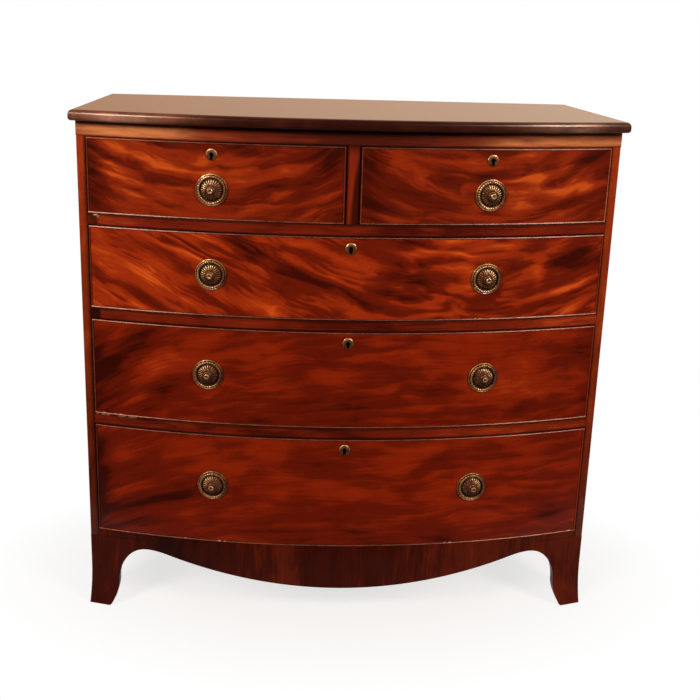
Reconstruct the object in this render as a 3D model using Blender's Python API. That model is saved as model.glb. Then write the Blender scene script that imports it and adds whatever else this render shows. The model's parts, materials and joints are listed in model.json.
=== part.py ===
"""Bow-front chest of drawers with two short drawers over three long ones.

Units are metres, +Z is up and the front faces -Y. The origin is on the floor, under the
middle of the chest's bounding box. Front pieces follow one bow, an arc in plan.
"""

import math
from collections import namedtuple

import bmesh
import bpy
from mathutils import Matrix, Vector

# Case
CASE_WIDTH = 1.050
CASE_DEPTH = 0.436
BOW_RISE = 0.079
SIDE_THICKNESS = 0.018
BACK_THICKNESS = 0.010
BACK_REBATE = 0.009
HOUSING_DEPTH = 0.006
JOINT_GAP = 0.0003

# Top
TOP_THICKNESS = 0.021
TOP_OVERHANG_SIDE = 0.010
TOP_OVERHANG_FRONT = 0.022
TOP_OVERHANG_BACK = 0.008
TOP_UPPER_ROUND = 0.009
TOP_LOWER_ROUND = 0.006

# Rails, dust boards and the upright pieces between the short drawers
TOP_RAIL_HEIGHT = 0.0285
RAIL_HEIGHT = 0.0225
RAIL_END_DEPTH = 0.045
TENON_LENGTH = 0.010
TENON_SHOULDER = 0.004
TENON_SETBACK = 0.012
DUST_BOARD_THICKNESS = 0.010
MUNTIN_WIDTH = 0.0265
PARTITION_THICKNESS = 0.018

# Openings for the drawers, from the floor up
BASE_HEIGHT = 0.1755
LOWER_OPENING = 0.2375
MIDDLE_OPENING = 0.2005
UPPER_OPENING = 0.1660
SHORT_OPENING = 0.1475

# Base: bottom board, apron and bracket feet
BOTTOM_THICKNESS = 0.016
APRON_THICKNESS = 0.022
APRON_CLEARANCE = 0.0785
ARCH_CLEARANCE = 0.1405
ARCH_INSET = 0.120
OGEE_TURN = 0.895
FOOT_THICKNESS = 0.022
FOOT_TOE = 0.040
FOOT_ANKLE = 0.060
FOOT_ANKLE_HEIGHT = 0.058
FOOT_SPLAY = 0.006
FOOT_SPLAY_HEIGHT = 0.095

# Drawers
DRAWER_SIDE_GAP = 0.0013
DRAWER_TOP_GAP = 0.0015
DRAWER_RUNNING_GAP = 0.0005
FRONT_THICKNESS = 0.022
BEAD_WIDTH = 0.0032
BEAD_PROUD = 0.0020
LINING_THICKNESS = 0.010
LINING_DROP = 0.004
DRAWER_BACK_DROP = 0.012
DRAWER_BACK_SPACE = 0.012
DRAWER_BACK_INSET = 0.003
DRAWER_BOTTOM_THICKNESS = 0.007
DRAWER_BOTTOM_RAISE = 0.008
GROOVE_DEPTH = 0.005
TONGUE_THICKNESS = 0.004
TAIL_PITCH = 0.056
TAIL_SLOPE = 1.0 / 6.0
PIN_TIP = 0.005
FRONT_LAP = 0.007

# Locks and escutcheons
KEYHOLE_DROP = 0.0225
KEYHOLE_RADIUS = 0.0026
KEYHOLE_SLOT = 0.0026
KEYHOLE_LENGTH = 0.0120
ESCUTCHEON_RADIUS = 0.0112
ESCUTCHEON_PROUD = 0.0024
ESCUTCHEON_EDGE = 0.0008
ESCUTCHEON_BEVEL = 0.0020
LOCK_WIDTH = 0.062
LOCK_HEIGHT = 0.044
LOCK_PLATE = 0.002
LOCK_CASE_WIDTH = 0.048
LOCK_CASE_HEIGHT = 0.036
LOCK_CASE_DEPTH = 0.009
BOLT_WIDTH = 0.022
BOLT_LENGTH = 0.024
BOLT_THICKNESS = 0.005
BOLT_CORNER = 0.0015
BOLT_TALON = 0.006
BOLT_THROW = 0.008
BOLT_CLEARANCE = 0.0006

# Ring pulls
UPPER_PULL_X = 0.2660
MIDDLE_PULL_X = 0.2725
LOWER_PULL_X = 0.2640
SHORT_PULL_OUTSET = 0.0040
SHORT_PULL_DROP = 0.016
UPPER_PULL_RISE = 0.000
MIDDLE_PULL_RISE = 0.003
LOWER_PULL_RISE = 0.008
PLATE_RADIUS = 0.031
PLATE_THICKNESS = 0.0014
RIM_WIDTH = 0.0026
RIM_HEIGHT = 0.0034
RIM_CREST = 0.0012
RIM_EDGE = 0.0020
ROSETTE_RADIUS = 0.0200
ROSETTE_EDGE = 0.0040
ROSETTE_HEIGHT = 0.0110
COLLAR_RADIUS = 0.0065
DOME_RADIUS = 0.0125
DOME_HEIGHT = 0.0085
BUTTON_RADIUS = 0.0055
BUTTON_NECK = 0.0040
BUTTON_CROWN = 0.0034
BUTTON_CROWN_DROP = 0.0008
BUTTON_DROP = 0.0028
PULL_PROJECTION = 0.0182
RING_RADIUS = 0.0253
RING_SECTION = 0.0024
LUG_WIDTH = 0.0050
LUG_WALL = 0.0008
LUG_CLEARANCE = 0.0008
STUD_RADIUS = 0.0030
NUT_RADIUS = 0.0062
NUT_THICKNESS = 0.0040

# Facets
BOW_STEPS = 16
APRON_END_STEPS = 3
SHORT_BOW_STEPS = 8
RING_STEPS = 16
RING_SIDES = 8
PLATE_STEPS = 16
LUG_STEPS = 10
ESCUTCHEON_STEPS = 12
KEYHOLE_STEPS = 6
FOOT_LEVELS = 5
FOOT_WING_STEPS = 2

# How far a cutting shape runs past the face that it opens
CUT_THROUGH = 0.004

# Values that follow from the sizes above
HALF_WIDTH = CASE_WIDTH / 2
INNER_HALF = HALF_WIDTH - SIDE_THICKNESS
FRONT_CORNER_Y = (BOW_RISE + TOP_OVERHANG_FRONT - CASE_DEPTH - TOP_OVERHANG_BACK) / 2
CASE_BACK_Y = FRONT_CORNER_Y + CASE_DEPTH
BACK_PANEL_Y = CASE_BACK_Y - BACK_THICKNESS
RAIL_BACK_Y = FRONT_CORNER_Y + RAIL_END_DEPTH
BOW_RADIUS = (HALF_WIDTH ** 2 + BOW_RISE ** 2) / (2 * BOW_RISE)
BOW_CENTRE_Y = FRONT_CORNER_Y + BOW_RADIUS - BOW_RISE
CASE_BOTTOM_Z = BASE_HEIGHT - BOTTOM_THICKNESS
RAIL_3_Z = BASE_HEIGHT + LOWER_OPENING
RAIL_2_Z = RAIL_3_Z + RAIL_HEIGHT + MIDDLE_OPENING
RAIL_1_Z = RAIL_2_Z + RAIL_HEIGHT + UPPER_OPENING
TOP_RAIL_Z = RAIL_1_Z + RAIL_HEIGHT + SHORT_OPENING
TOP_Z = TOP_RAIL_Z + TOP_RAIL_HEIGHT
ARCH_APEX_X = HALF_WIDTH - ARCH_INSET
LOCK_DEPTH = LOCK_PLATE + LOCK_CASE_DEPTH
RING_HEIGHT = PLATE_THICKNESS + JOINT_GAP + RING_SECTION
LUG_BORE = RING_SECTION + LUG_CLEARANCE

Drawer = namedtuple("Drawer", "name left right low high lock_x pulls")


def clear_scene():
    """Remove what the scene holds before the chest is built."""
    for obj in list(bpy.data.objects):
        bpy.data.objects.remove(obj, do_unlink=True)


def make_material(name, colour, roughness, metallic=0.0):
    """Principled material with one colour."""
    material = bpy.data.materials.new(name)
    material.use_nodes = True
    shader = material.node_tree.nodes["Principled BSDF"]
    shader.inputs["Base Color"].default_value = (*colour, 1.0)
    shader.inputs["Roughness"].default_value = roughness
    shader.inputs["Metallic"].default_value = metallic
    return material


def spaced(start, end, steps):
    """Evenly spaced values from start to end, both included."""
    return [start + (end - start) * i / steps for i in range(steps + 1)]


def bow_y(x, depth=0.0):
    """Y at x on the arc that lies depth behind the bowed face."""
    return BOW_CENTRE_Y - math.sqrt((BOW_RADIUS - depth) ** 2 - x ** 2)


def bow_frame(x, z):
    """Frame on the bowed face: +X along the bow, +Y into the wood, +Z up."""
    turn = Matrix.Rotation(math.asin(x / BOW_RADIUS), 4, "Z")
    return Matrix.Translation((x, bow_y(x), z)) @ turn


def loft(rings):
    """Solid through rings of equal point count, closed by a face at each end."""
    count = len(rings[0])
    points = [point for ring in rings for point in ring]
    faces = [tuple(range(count))]
    for level in range(len(rings) - 1):
        here = level * count
        above = here + count
        for i in range(count):
            j = (i + 1) % count
            faces.append((here + i, here + j, above + j, above + i))
    last = (len(rings) - 1) * count
    faces.append(tuple(range(last, last + count)))
    return points, faces


def block(x_span, y_span, z_span):
    """Box between three pairs of limits."""
    x0, x1 = x_span
    y0, y1 = y_span
    lower = [(x0, y0, z_span[0]), (x1, y0, z_span[0]), (x1, y1, z_span[0]), (x0, y1, z_span[0])]
    return loft([lower, [(x, y, z_span[1]) for x, y, _ in lower]])


def disc(radius, steps, y_span):
    """Round bar along Y, made of flat facets."""
    angles = [2 * math.pi * i / steps for i in range(steps)]
    circle = [(radius * math.cos(a), radius * math.sin(a)) for a in angles]
    return loft([[(x, y, z) for x, z in circle] for y in y_span])


def moved(shape, matrix):
    """Shape carried by a matrix."""
    points, faces = shape
    return [tuple(matrix @ Vector(point)) for point in points], faces


def gathered(shapes):
    """Several separate shapes as one."""
    points = []
    faces = []
    for shape_points, shape_faces in shapes:
        start = len(points)
        points.extend(shape_points)
        faces.extend(tuple(start + i for i in face) for face in shape_faces)
    return points, faces


def make_mesh(name, shape):
    """Mesh of a shape with its faces turned outwards."""
    points, faces = shape
    mesh = bpy.data.meshes.new(name)
    mesh.from_pydata(points, [], faces)
    surface = bmesh.new()
    surface.from_mesh(mesh)
    bmesh.ops.recalc_face_normals(surface, faces=surface.faces)
    surface.to_mesh(mesh)
    surface.free()
    return mesh


def make_piece(name, shape, material):
    """Named object of a shape or of a ready mesh."""
    mesh = shape if isinstance(shape, bpy.types.Mesh) else make_mesh(name, shape)
    if not mesh.materials:
        mesh.materials.append(material)
    piece = bpy.data.objects.new(name, mesh)
    bpy.context.scene.collection.objects.link(piece)
    return piece


def combine(piece, shape, operation):
    """Cut a shape out of a piece or fuse it on, and keep the result as the piece's mesh."""
    tool = bpy.data.objects.new(piece.name + "_tool", make_mesh("tool", shape))
    bpy.context.scene.collection.objects.link(tool)
    modifier = piece.modifiers.new(operation.lower(), "BOOLEAN")
    modifier.operation = operation
    modifier.solver = "EXACT"
    modifier.object = tool
    bpy.context.view_layer.update()
    evaluated = piece.evaluated_get(bpy.context.evaluated_depsgraph_get())
    result = bpy.data.meshes.new_from_object(evaluated)
    piece.modifiers.remove(modifier)
    piece.data = result
    bpy.data.objects.remove(tool, do_unlink=True)


def cut(piece, shape):
    """Take a shape away from a piece."""
    combine(piece, shape, "DIFFERENCE")


def fuse(piece, shape):
    """Join a shape that overlaps a piece to it."""
    combine(piece, shape, "UNION")


def smooth_round(piece, degrees=35.0):
    """Shade a turned piece smooth, with its sharp edges kept."""
    piece.data.shade_smooth()
    piece.data.set_sharp_from_angle(angle=math.radians(degrees))


def bowed_board(xs, low, high, front=0.0, back=None, back_y=None):
    """Board between heights low(x) and high(x), whose face lies front behind the bow.

    Its back follows the bow at a depth of back, or is flat at back_y.
    """
    rings = []
    for x in xs:
        near = bow_y(x, front)
        far = bow_y(x, back) if back_y is None else back_y
        z0 = low(x)
        z1 = high(x)
        rings.append([(x, near, z0), (x, near, z1), (x, far, z1), (x, far, z0)])
    return loft(rings)


def level(z):
    """Height that is the same all along a board."""
    return lambda x: z


def make_top(material):
    """Top board: horizontal outlines drawn in by the rounding of its edge, stacked up."""

    def outline(inset, z):
        half = HALF_WIDTH + TOP_OVERHANG_SIDE - inset
        xs = spaced(-half, half, BOW_STEPS)
        front = [(x, bow_y(x, inset - TOP_OVERHANG_FRONT), z) for x in xs]
        back_y = CASE_BACK_Y + TOP_OVERHANG_BACK
        return front + [(half, back_y, z), (-half, back_y, z)]

    under = TOP_Z + JOINT_GAP
    upper = TOP_Z + TOP_THICKNESS
    rings = []
    for turn in (0.0, 0.5, 1.0):
        angle = turn * math.pi / 2
        inset = TOP_LOWER_ROUND * (1 - math.sin(angle))
        rings.append(outline(inset, under + TOP_LOWER_ROUND * (1 - math.cos(angle))))
    for turn in (0.0, 0.35, 0.7, 1.0):
        angle = turn * math.pi / 2
        inset = TOP_UPPER_ROUND * (1 - math.cos(angle))
        rings.append(outline(inset, upper - TOP_UPPER_ROUND * (1 - math.sin(angle))))
    return make_piece("top", loft(rings), material)


def rail_tenon(hand, z, grow):
    """Stub tenon at one end of a drawer rail, or its mortise when grow is a clearance."""
    root = hand * (INNER_HALF - 2 * TENON_SHOULDER)
    tip = hand * (INNER_HALF + TENON_LENGTH + grow)
    front = bow_y(INNER_HALF) + TENON_SETBACK
    low = z + TENON_SHOULDER - grow
    high = z + RAIL_HEIGHT - TENON_SHOULDER + grow
    y_span = (front - grow, RAIL_BACK_Y - TENON_SHOULDER + grow)
    return block(sorted((root, tip)), y_span, (low, high))


def make_side(name, hand, material):
    """Case side with its stile edge on the bow, a notch for the top rail and a skirt."""
    notch_y = RAIL_BACK_Y + JOINT_GAP
    notch_z = TOP_RAIL_Z - JOINT_GAP
    skirt_front = FRONT_CORNER_Y + ARCH_INSET
    skirt_back = CASE_BACK_Y - ARCH_INSET
    rings = []
    for x in (HALF_WIDTH, INNER_HALF):
        edge = bow_y(x)
        outline = [
            (edge, CASE_BOTTOM_Z),
            (edge, notch_z),
            (notch_y, notch_z),
            (notch_y, TOP_Z),
            (CASE_BACK_Y, TOP_Z),
            (CASE_BACK_Y, CASE_BOTTOM_Z),
            (skirt_back, CASE_BOTTOM_Z),
            (skirt_back, ARCH_CLEARANCE),
            (skirt_front, ARCH_CLEARANCE),
            (skirt_front, CASE_BOTTOM_Z),
        ]
        rings.append([(hand * x, y, z) for y, z in outline])
    side = make_piece(name, loft(rings), material)
    inner = hand * (INNER_HALF - CUT_THROUGH)
    rebate_x = sorted((inner, hand * (INNER_HALF + BACK_REBATE)))
    rebate_y = (BACK_PANEL_Y - JOINT_GAP, CASE_BACK_Y + CUT_THROUGH)
    rebate_z = (CASE_BOTTOM_Z - CUT_THROUGH, TOP_Z + CUT_THROUGH)
    cut(side, block(rebate_x, rebate_y, rebate_z))
    housing_x = sorted((inner, hand * (INNER_HALF + HOUSING_DEPTH)))
    housing_y = (RAIL_BACK_Y, BACK_PANEL_Y)
    for rail_z in (RAIL_1_Z, RAIL_2_Z, RAIL_3_Z):
        top = rail_z + RAIL_HEIGHT
        housing_z = (top - DUST_BOARD_THICKNESS - JOINT_GAP, top + JOINT_GAP)
        cut(side, block(housing_x, housing_y, housing_z))
        cut(side, rail_tenon(hand, rail_z, JOINT_GAP))
    bottom_y = (bow_y(INNER_HALF, APRON_THICKNESS), BACK_PANEL_Y)
    bottom_z = (CASE_BOTTOM_Z - JOINT_GAP, BASE_HEIGHT + JOINT_GAP)
    cut(side, block(housing_x, bottom_y, bottom_z))
    return side


def make_back(material):
    """Back panel in the rebates of the two sides."""
    half = INNER_HALF + BACK_REBATE - JOINT_GAP
    shape = block((-half, half), (BACK_PANEL_Y, CASE_BACK_Y), (CASE_BOTTOM_Z, TOP_Z))
    return make_piece("back_panel", shape, material)


def bolt_mortise(x, z):
    """Slot in the underside of a rail for a lock bolt."""
    half = BOLT_WIDTH / 2 + BOLT_CLEARANCE
    centre = FRONT_THICKNESS - LOCK_PLATE - LOCK_CASE_DEPTH / 2
    reach = BOLT_THICKNESS / 2 + BOLT_CLEARANCE
    y_span = (centre - reach, centre + reach)
    shape = block((-half, half), y_span, (-CUT_THROUGH, BOLT_THROW + BOLT_CLEARANCE))
    return moved(shape, bow_frame(x, z))


def make_top_rail(lock_xs, material):
    """Top rail across the full width, lying in the notches of the sides."""
    xs = spaced(-HALF_WIDTH, HALF_WIDTH, BOW_STEPS)
    shape = bowed_board(xs, level(TOP_RAIL_Z), level(TOP_Z), back_y=RAIL_BACK_Y)
    rail = make_piece("top_rail", shape, material)
    for x in lock_xs:
        cut(rail, bolt_mortise(x, TOP_RAIL_Z))
    return rail


def make_rail(name, z, lock_x, material):
    """Drawer rail between the sides, with a stub tenon at each end."""
    half = INNER_HALF - JOINT_GAP
    xs = spaced(-half, half, BOW_STEPS)
    shape = bowed_board(xs, level(z), level(z + RAIL_HEIGHT), back_y=RAIL_BACK_Y)
    rail = make_piece(name, shape, material)
    for hand in (-1, 1):
        fuse(rail, rail_tenon(hand, z, 0.0))
    cut(rail, bolt_mortise(lock_x, z))
    return rail


def make_dust_board(name, rail_z, material):
    """Dust board behind a rail, housed in the sides, that carries the drawer above."""
    half = INNER_HALF + HOUSING_DEPTH - JOINT_GAP
    y_span = (RAIL_BACK_Y + JOINT_GAP, BACK_PANEL_Y - JOINT_GAP)
    top = rail_z + RAIL_HEIGHT
    shape = block((-half, half), y_span, (top - DUST_BOARD_THICKNESS, top))
    return make_piece(name, shape, material)


def make_muntin(material):
    """Upright between the short drawers, with its face on the bow."""
    xs = spaced(-MUNTIN_WIDTH / 2, MUNTIN_WIDTH / 2, 2)
    low = level(RAIL_1_Z + RAIL_HEIGHT + JOINT_GAP)
    high = level(TOP_RAIL_Z - JOINT_GAP)
    return make_piece("muntin", bowed_board(xs, low, high, back_y=RAIL_BACK_Y), material)


def make_partition(material):
    """Board behind the muntin that parts and guides the short drawers."""
    half = PARTITION_THICKNESS / 2
    y_span = (RAIL_BACK_Y + JOINT_GAP, BACK_PANEL_Y - JOINT_GAP)
    z_span = (RAIL_1_Z + RAIL_HEIGHT + JOINT_GAP, TOP_Z)
    return make_piece("partition", block((-half, half), y_span, z_span), material)


def apron_stations():
    """Places along the apron, with one at each arch and one at each stile."""
    ends = spaced(ARCH_APEX_X, INNER_HALF - JOINT_GAP, APRON_END_STEPS)[1:]
    return [-x for x in reversed(ends)] + spaced(-ARCH_APEX_X, ARCH_APEX_X, BOW_STEPS) + ends


def make_bottom_board(material):
    """Bottom board behind the apron, with its ends in rebates of the sides."""
    half = INNER_HALF + HOUSING_DEPTH - JOINT_GAP
    rings = []
    for x in [-half] + apron_stations() + [half]:
        near = bow_y(x, APRON_THICKNESS) + JOINT_GAP
        far = BACK_PANEL_Y - JOINT_GAP
        section = [(near, CASE_BOTTOM_Z), (near, BASE_HEIGHT), (far, BASE_HEIGHT), (far, CASE_BOTTOM_Z)]
        rings.append([(x, y, z) for y, z in section])
    return make_piece("bottom_board", loft(rings), material)


def apron_edge(x):
    """Height of the apron's lower edge: a long drop that turns up into an arch.

    Two parabolas meet at OGEE_TURN of the way from the middle to the arch.
    """
    way = min(abs(x) / ARCH_APEX_X, 1.0)
    if way < OGEE_TURN:
        rise = way ** 2 / OGEE_TURN
    else:
        rise = 1 - (1 - way) ** 2 / (1 - OGEE_TURN)
    return APRON_CLEARANCE + (ARCH_CLEARANCE - APRON_CLEARANCE) * rise


def make_apron(material):
    """Bowed apron between the stiles, stepped at its ends over the front feet."""
    shape = bowed_board(apron_stations(), apron_edge, level(BASE_HEIGHT), back=APRON_THICKNESS)
    apron = make_piece("apron_front", shape, material)
    y_span = (bow_y(0.0) - CUT_THROUGH, FRONT_CORNER_Y + APRON_THICKNESS + CUT_THROUGH)
    z_span = (ARCH_CLEARANCE - CUT_THROUGH, CASE_BOTTOM_Z)
    for hand in (-1, 1):
        x_span = sorted((hand * ARCH_APEX_X, hand * HALF_WIDTH))
        cut(apron, block(x_span, y_span, z_span))
    return apron


def foot_levels():
    """Heights of a foot's sections, closer together up the round of the arch."""
    ankle = spaced(0.0, FOOT_ANKLE_HEIGHT, FOOT_LEVELS)
    rise = ARCH_CLEARANCE - FOOT_ANKLE_HEIGHT
    turns = spaced(0.0, math.pi / 2, FOOT_LEVELS)[1:]
    arch = [FOOT_ANKLE_HEIGHT + rise * math.sin(turn) for turn in turns]
    return ankle + arch + [CASE_BOTTOM_Z - JOINT_GAP]


def foot_reach(z):
    """Length of a foot's wing at height z: toe, ankle and a quarter ellipse into the arch."""
    if z <= FOOT_ANKLE_HEIGHT:
        return FOOT_TOE + (FOOT_ANKLE - FOOT_TOE) * math.sin(math.pi / 2 * z / FOOT_ANKLE_HEIGHT)
    full = ARCH_INSET - JOINT_GAP
    rise = (z - FOOT_ANKLE_HEIGHT) / (ARCH_CLEARANCE - FOOT_ANKLE_HEIGHT)
    return full - (full - FOOT_ANKLE) * math.sqrt(max(1 - rise ** 2, 0.0))


def foot_splay(z):
    """How far the foot kicks outwards at height z."""
    return FOOT_SPLAY * max(1 - z / FOOT_SPLAY_HEIGHT, 0.0) ** 2


def foot_section(z, hand, front):
    """Plan section of a bracket foot: a wing along the front or back and one along the side."""
    reach = foot_reach(z)
    splay = foot_splay(z)
    outer = HALF_WIDTH + splay
    inner = HALF_WIDTH - FOOT_THICKNESS + splay

    def face_y(x, depth):
        if front:
            return bow_y(x, depth) - splay
        return CASE_BACK_Y - depth

    wing = [(x, face_y(x, 0.0)) for x in spaced(outer, HALF_WIDTH - reach, FOOT_WING_STEPS)]
    lining = spaced(HALF_WIDTH - reach, inner, FOOT_WING_STEPS)
    wing += [(x, face_y(x, FOOT_THICKNESS)) for x in lining]
    end_y = FRONT_CORNER_Y + reach if front else CASE_BACK_Y - reach
    wing += [(inner, end_y), (outer, end_y)]
    return [(hand * x, y, z) for x, y in wing]


def make_foot(name, hand, front, material):
    """Splayed bracket foot: plan sections stacked from the floor to the case."""
    return make_piece(name, loft([foot_section(z, hand, front) for z in foot_levels()]), material)


def drawer_list():
    """The five drawers, with their limits inside the openings and their fittings."""
    left = -INNER_HALF + DRAWER_SIDE_GAP
    middle = MUNTIN_WIDTH / 2 + DRAWER_SIDE_GAP
    short_low = RAIL_1_Z + RAIL_HEIGHT
    short_x = (middle - left) / 2 + SHORT_PULL_OUTSET
    short_z = short_low + SHORT_OPENING / 2 - SHORT_PULL_DROP
    drawers = []
    for name, hand in (("short_left", -1), ("short_right", 1)):
        ends = sorted((hand * middle, -hand * left))
        pulls = [(name, hand * short_x, short_z)]
        high = TOP_RAIL_Z - DRAWER_TOP_GAP
        low = short_low + DRAWER_RUNNING_GAP
        drawers.append(Drawer(name, *ends, low, high, hand * short_x, pulls))
    rows = (
        ("upper", RAIL_2_Z + RAIL_HEIGHT, UPPER_OPENING, UPPER_PULL_X, UPPER_PULL_RISE),
        ("middle", RAIL_3_Z + RAIL_HEIGHT, MIDDLE_OPENING, MIDDLE_PULL_X, MIDDLE_PULL_RISE),
        ("lower", BASE_HEIGHT, LOWER_OPENING, LOWER_PULL_X, LOWER_PULL_RISE),
    )
    for name, floor, opening, pull_x, rise in rows:
        pull_z = floor + opening / 2 + rise
        pulls = [(name + "_left", -pull_x, pull_z), (name + "_right", pull_x, pull_z)]
        low = floor + DRAWER_RUNNING_GAP
        drawers.append(Drawer(name, left, -left, low, floor + opening - DRAWER_TOP_GAP, 0.0, pulls))
    return drawers


def bead_height(x, z, drawer):
    """How far the cockbead stands proud at a point of a drawer front, mitred at the corners."""
    inside = min(x - drawer.left, drawer.right - x, z - drawer.low, drawer.high - z)
    if inside >= BEAD_WIDTH:
        return 0.0
    across = 2 * inside / BEAD_WIDTH - 1
    return BEAD_PROUD * math.sqrt(max(1 - across ** 4, 0.0))


def bead_stations(start, end, steps):
    """Places across a front: three over the bead at each edge, the rest evenly between."""
    edge = [0.0, 0.25 * BEAD_WIDTH, 0.75 * BEAD_WIDTH]
    body = spaced(start + BEAD_WIDTH, end - BEAD_WIDTH, steps)
    return [start + e for e in edge] + body + [end - e for e in reversed(edge)]


def front_steps(drawer):
    """Number of facets along a drawer's bow."""
    return BOW_STEPS if drawer.right - drawer.left > HALF_WIDTH else SHORT_BOW_STEPS


def tail_shapes(drawer, hand, grow):
    """Dovetails of one drawer side, or their sockets when grow is a clearance."""
    height = lining_top(drawer) - drawer.low
    count = max(2, round(height / TAIL_PITCH))
    pitch = height / count
    face = drawer.right if hand > 0 else drawer.left
    inner = face - hand * LINING_THICKNESS
    outer_x = face + hand * (CUT_THROUGH if grow else 0.0)
    x_span = sorted((outer_x, inner - hand * grow))
    bow_edge = max(bow_y(face), bow_y(inner))
    tip_y = bow_edge + FRONT_LAP - grow
    root_y = max(bow_y(face, FRONT_THICKNESS), bow_y(inner, FRONT_THICKNESS)) + CUT_THROUGH
    tip_half = (pitch - PIN_TIP) / 2 + grow
    root_half = tip_half - (root_y - tip_y) * TAIL_SLOPE
    shapes = []
    for i in range(count):
        z = drawer.low + pitch * (i + 0.5)
        tip = [(tip_y, z - tip_half), (tip_y, z + tip_half)]
        outline = tip + [(root_y, z + root_half), (root_y, z - root_half)]
        shapes.append(loft([[(x, y, h) for y, h in outline] for x in x_span]))
    return gathered(shapes)


def lining_top(drawer):
    """Height of the upper edge of a drawer's sides."""
    return drawer.high - LINING_DROP


def bottom_span(drawer):
    """Heights of the two faces of a drawer's bottom."""
    low = drawer.low + DRAWER_BOTTOM_RAISE
    return low, low + DRAWER_BOTTOM_THICKNESS


def tongue_shape(drawer, grow):
    """Front edge of a drawer's bottom, or its groove in the front when grow is a clearance."""
    low, high = bottom_span(drawer)
    middle = (low + high) / 2
    reach = LINING_THICKNESS + JOINT_GAP - grow
    xs = spaced(drawer.left + reach, drawer.right - reach, front_steps(drawer))
    half = TONGUE_THICKNESS / 2 + grow
    front = FRONT_THICKNESS - GROOVE_DEPTH - grow
    back = FRONT_THICKNESS + CUT_THROUGH
    return bowed_board(xs, level(middle - half), level(middle + half), front=front, back=back)


def lock_shape(drawer, grow):
    """Lock case on its plate, or the recess for it when grow is a clearance."""
    plate_half = LOCK_WIDTH / 2 + grow
    case_half = LOCK_CASE_WIDTH / 2 + grow
    extra = CUT_THROUGH if grow else 0.0
    back = FRONT_THICKNESS + extra
    face = FRONT_THICKNESS - LOCK_PLATE
    low = -LOCK_HEIGHT - grow
    case_low = -LOCK_CASE_HEIGHT - grow
    front = FRONT_THICKNESS - LOCK_DEPTH - grow
    plate = block((-plate_half, plate_half), (face - grow, back), (low, extra))
    case = block((-case_half, case_half), (front, face + LOCK_PLATE / 2), (case_low, extra))
    matrix = bow_frame(drawer.lock_x, drawer.high)
    return moved(plate, matrix), moved(case, matrix)


def keyhole_shape(y_span):
    """Keyhole about the origin: a round hole with a slot below it."""
    half = KEYHOLE_SLOT / 2
    meet = math.asin(half / KEYHOLE_RADIUS)
    turns = spaced(meet - math.pi / 2, 3 * math.pi / 2 - meet, KEYHOLE_STEPS)
    outline = [(KEYHOLE_RADIUS * math.cos(a), KEYHOLE_RADIUS * math.sin(a)) for a in turns]
    foot = KEYHOLE_RADIUS - KEYHOLE_LENGTH
    outline += [(-half, foot), (half, foot)]
    return loft([[(x, y, z) for x, z in outline] for y in y_span])


def make_drawer_front(drawer, material):
    """Bowed front with its cockbead, sockets, bottom groove, lock recess and holes."""
    rings = []
    zs = bead_stations(drawer.low, drawer.high, 1)
    for x in bead_stations(drawer.left, drawer.right, front_steps(drawer)):
        face = [(x, bow_y(x, -bead_height(x, z, drawer)), z) for z in zs]
        back = bow_y(x, FRONT_THICKNESS)
        rings.append(face + [(x, back, drawer.high), (x, back, drawer.low)])
    front = make_piece("drawer_front_" + drawer.name, loft(rings), material)
    for hand in (-1, 1):
        cut(front, tail_shapes(drawer, hand, JOINT_GAP))
    cut(front, tongue_shape(drawer, JOINT_GAP))
    for recess in lock_shape(drawer, JOINT_GAP):
        cut(front, recess)
    keyhole = keyhole_shape((-BEAD_PROUD - CUT_THROUGH, FRONT_THICKNESS))
    cut(front, moved(keyhole, bow_frame(drawer.lock_x, drawer.high - KEYHOLE_DROP)))
    for _, x, z in drawer.pulls:
        y_span = (-CUT_THROUGH, FRONT_THICKNESS + CUT_THROUGH)
        hole = disc(STUD_RADIUS + JOINT_GAP, PLATE_STEPS, y_span)
        cut(front, moved(hole, bow_frame(x, z)))
    return front


def make_drawer_box(drawer, material):
    """Drawer sides, back and bottom, with dovetails at the front of the sides."""
    back_y = BACK_PANEL_Y - DRAWER_BACK_SPACE
    top = lining_top(drawer)
    low, high = bottom_span(drawer)
    middle = (low + high) / 2

    def lining(face, hand):
        rings = []
        for x in (face, face - hand * LINING_THICKNESS):
            near = bow_y(x, FRONT_THICKNESS) + JOINT_GAP
            section = [(near, drawer.low), (near, top), (back_y, top), (back_y, drawer.low)]
            rings.append([(x, y, z) for y, z in section])
        return loft(rings)

    box = make_piece("drawer_box_" + drawer.name, lining(drawer.left, -1), material)
    inset = LINING_THICKNESS / 2
    x_span = (drawer.left + inset, drawer.right - inset)
    rear_y = back_y - DRAWER_BACK_INSET
    fuse(box, block(x_span, (rear_y - LINING_THICKNESS, rear_y), (middle, top - DRAWER_BACK_DROP)))
    fuse(box, lining(drawer.right, 1))
    inside = (drawer.left + LINING_THICKNESS, drawer.right - LINING_THICKNESS)
    far = rear_y - LINING_THICKNESS / 2
    rings = []
    for x in [x_span[0]] + spaced(*inside, front_steps(drawer)) + [x_span[1]]:
        near = bow_y(x, FRONT_THICKNESS) + JOINT_GAP
        if x in x_span:
            near += CUT_THROUGH
        rings.append([(x, near, low), (x, near, high), (x, far, high), (x, far, low)])
    fuse(box, loft(rings))
    fuse(box, tongue_shape(drawer, 0.0))
    for hand in (-1, 1):
        fuse(box, tail_shapes(drawer, hand, 0.0))
    return box


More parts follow.
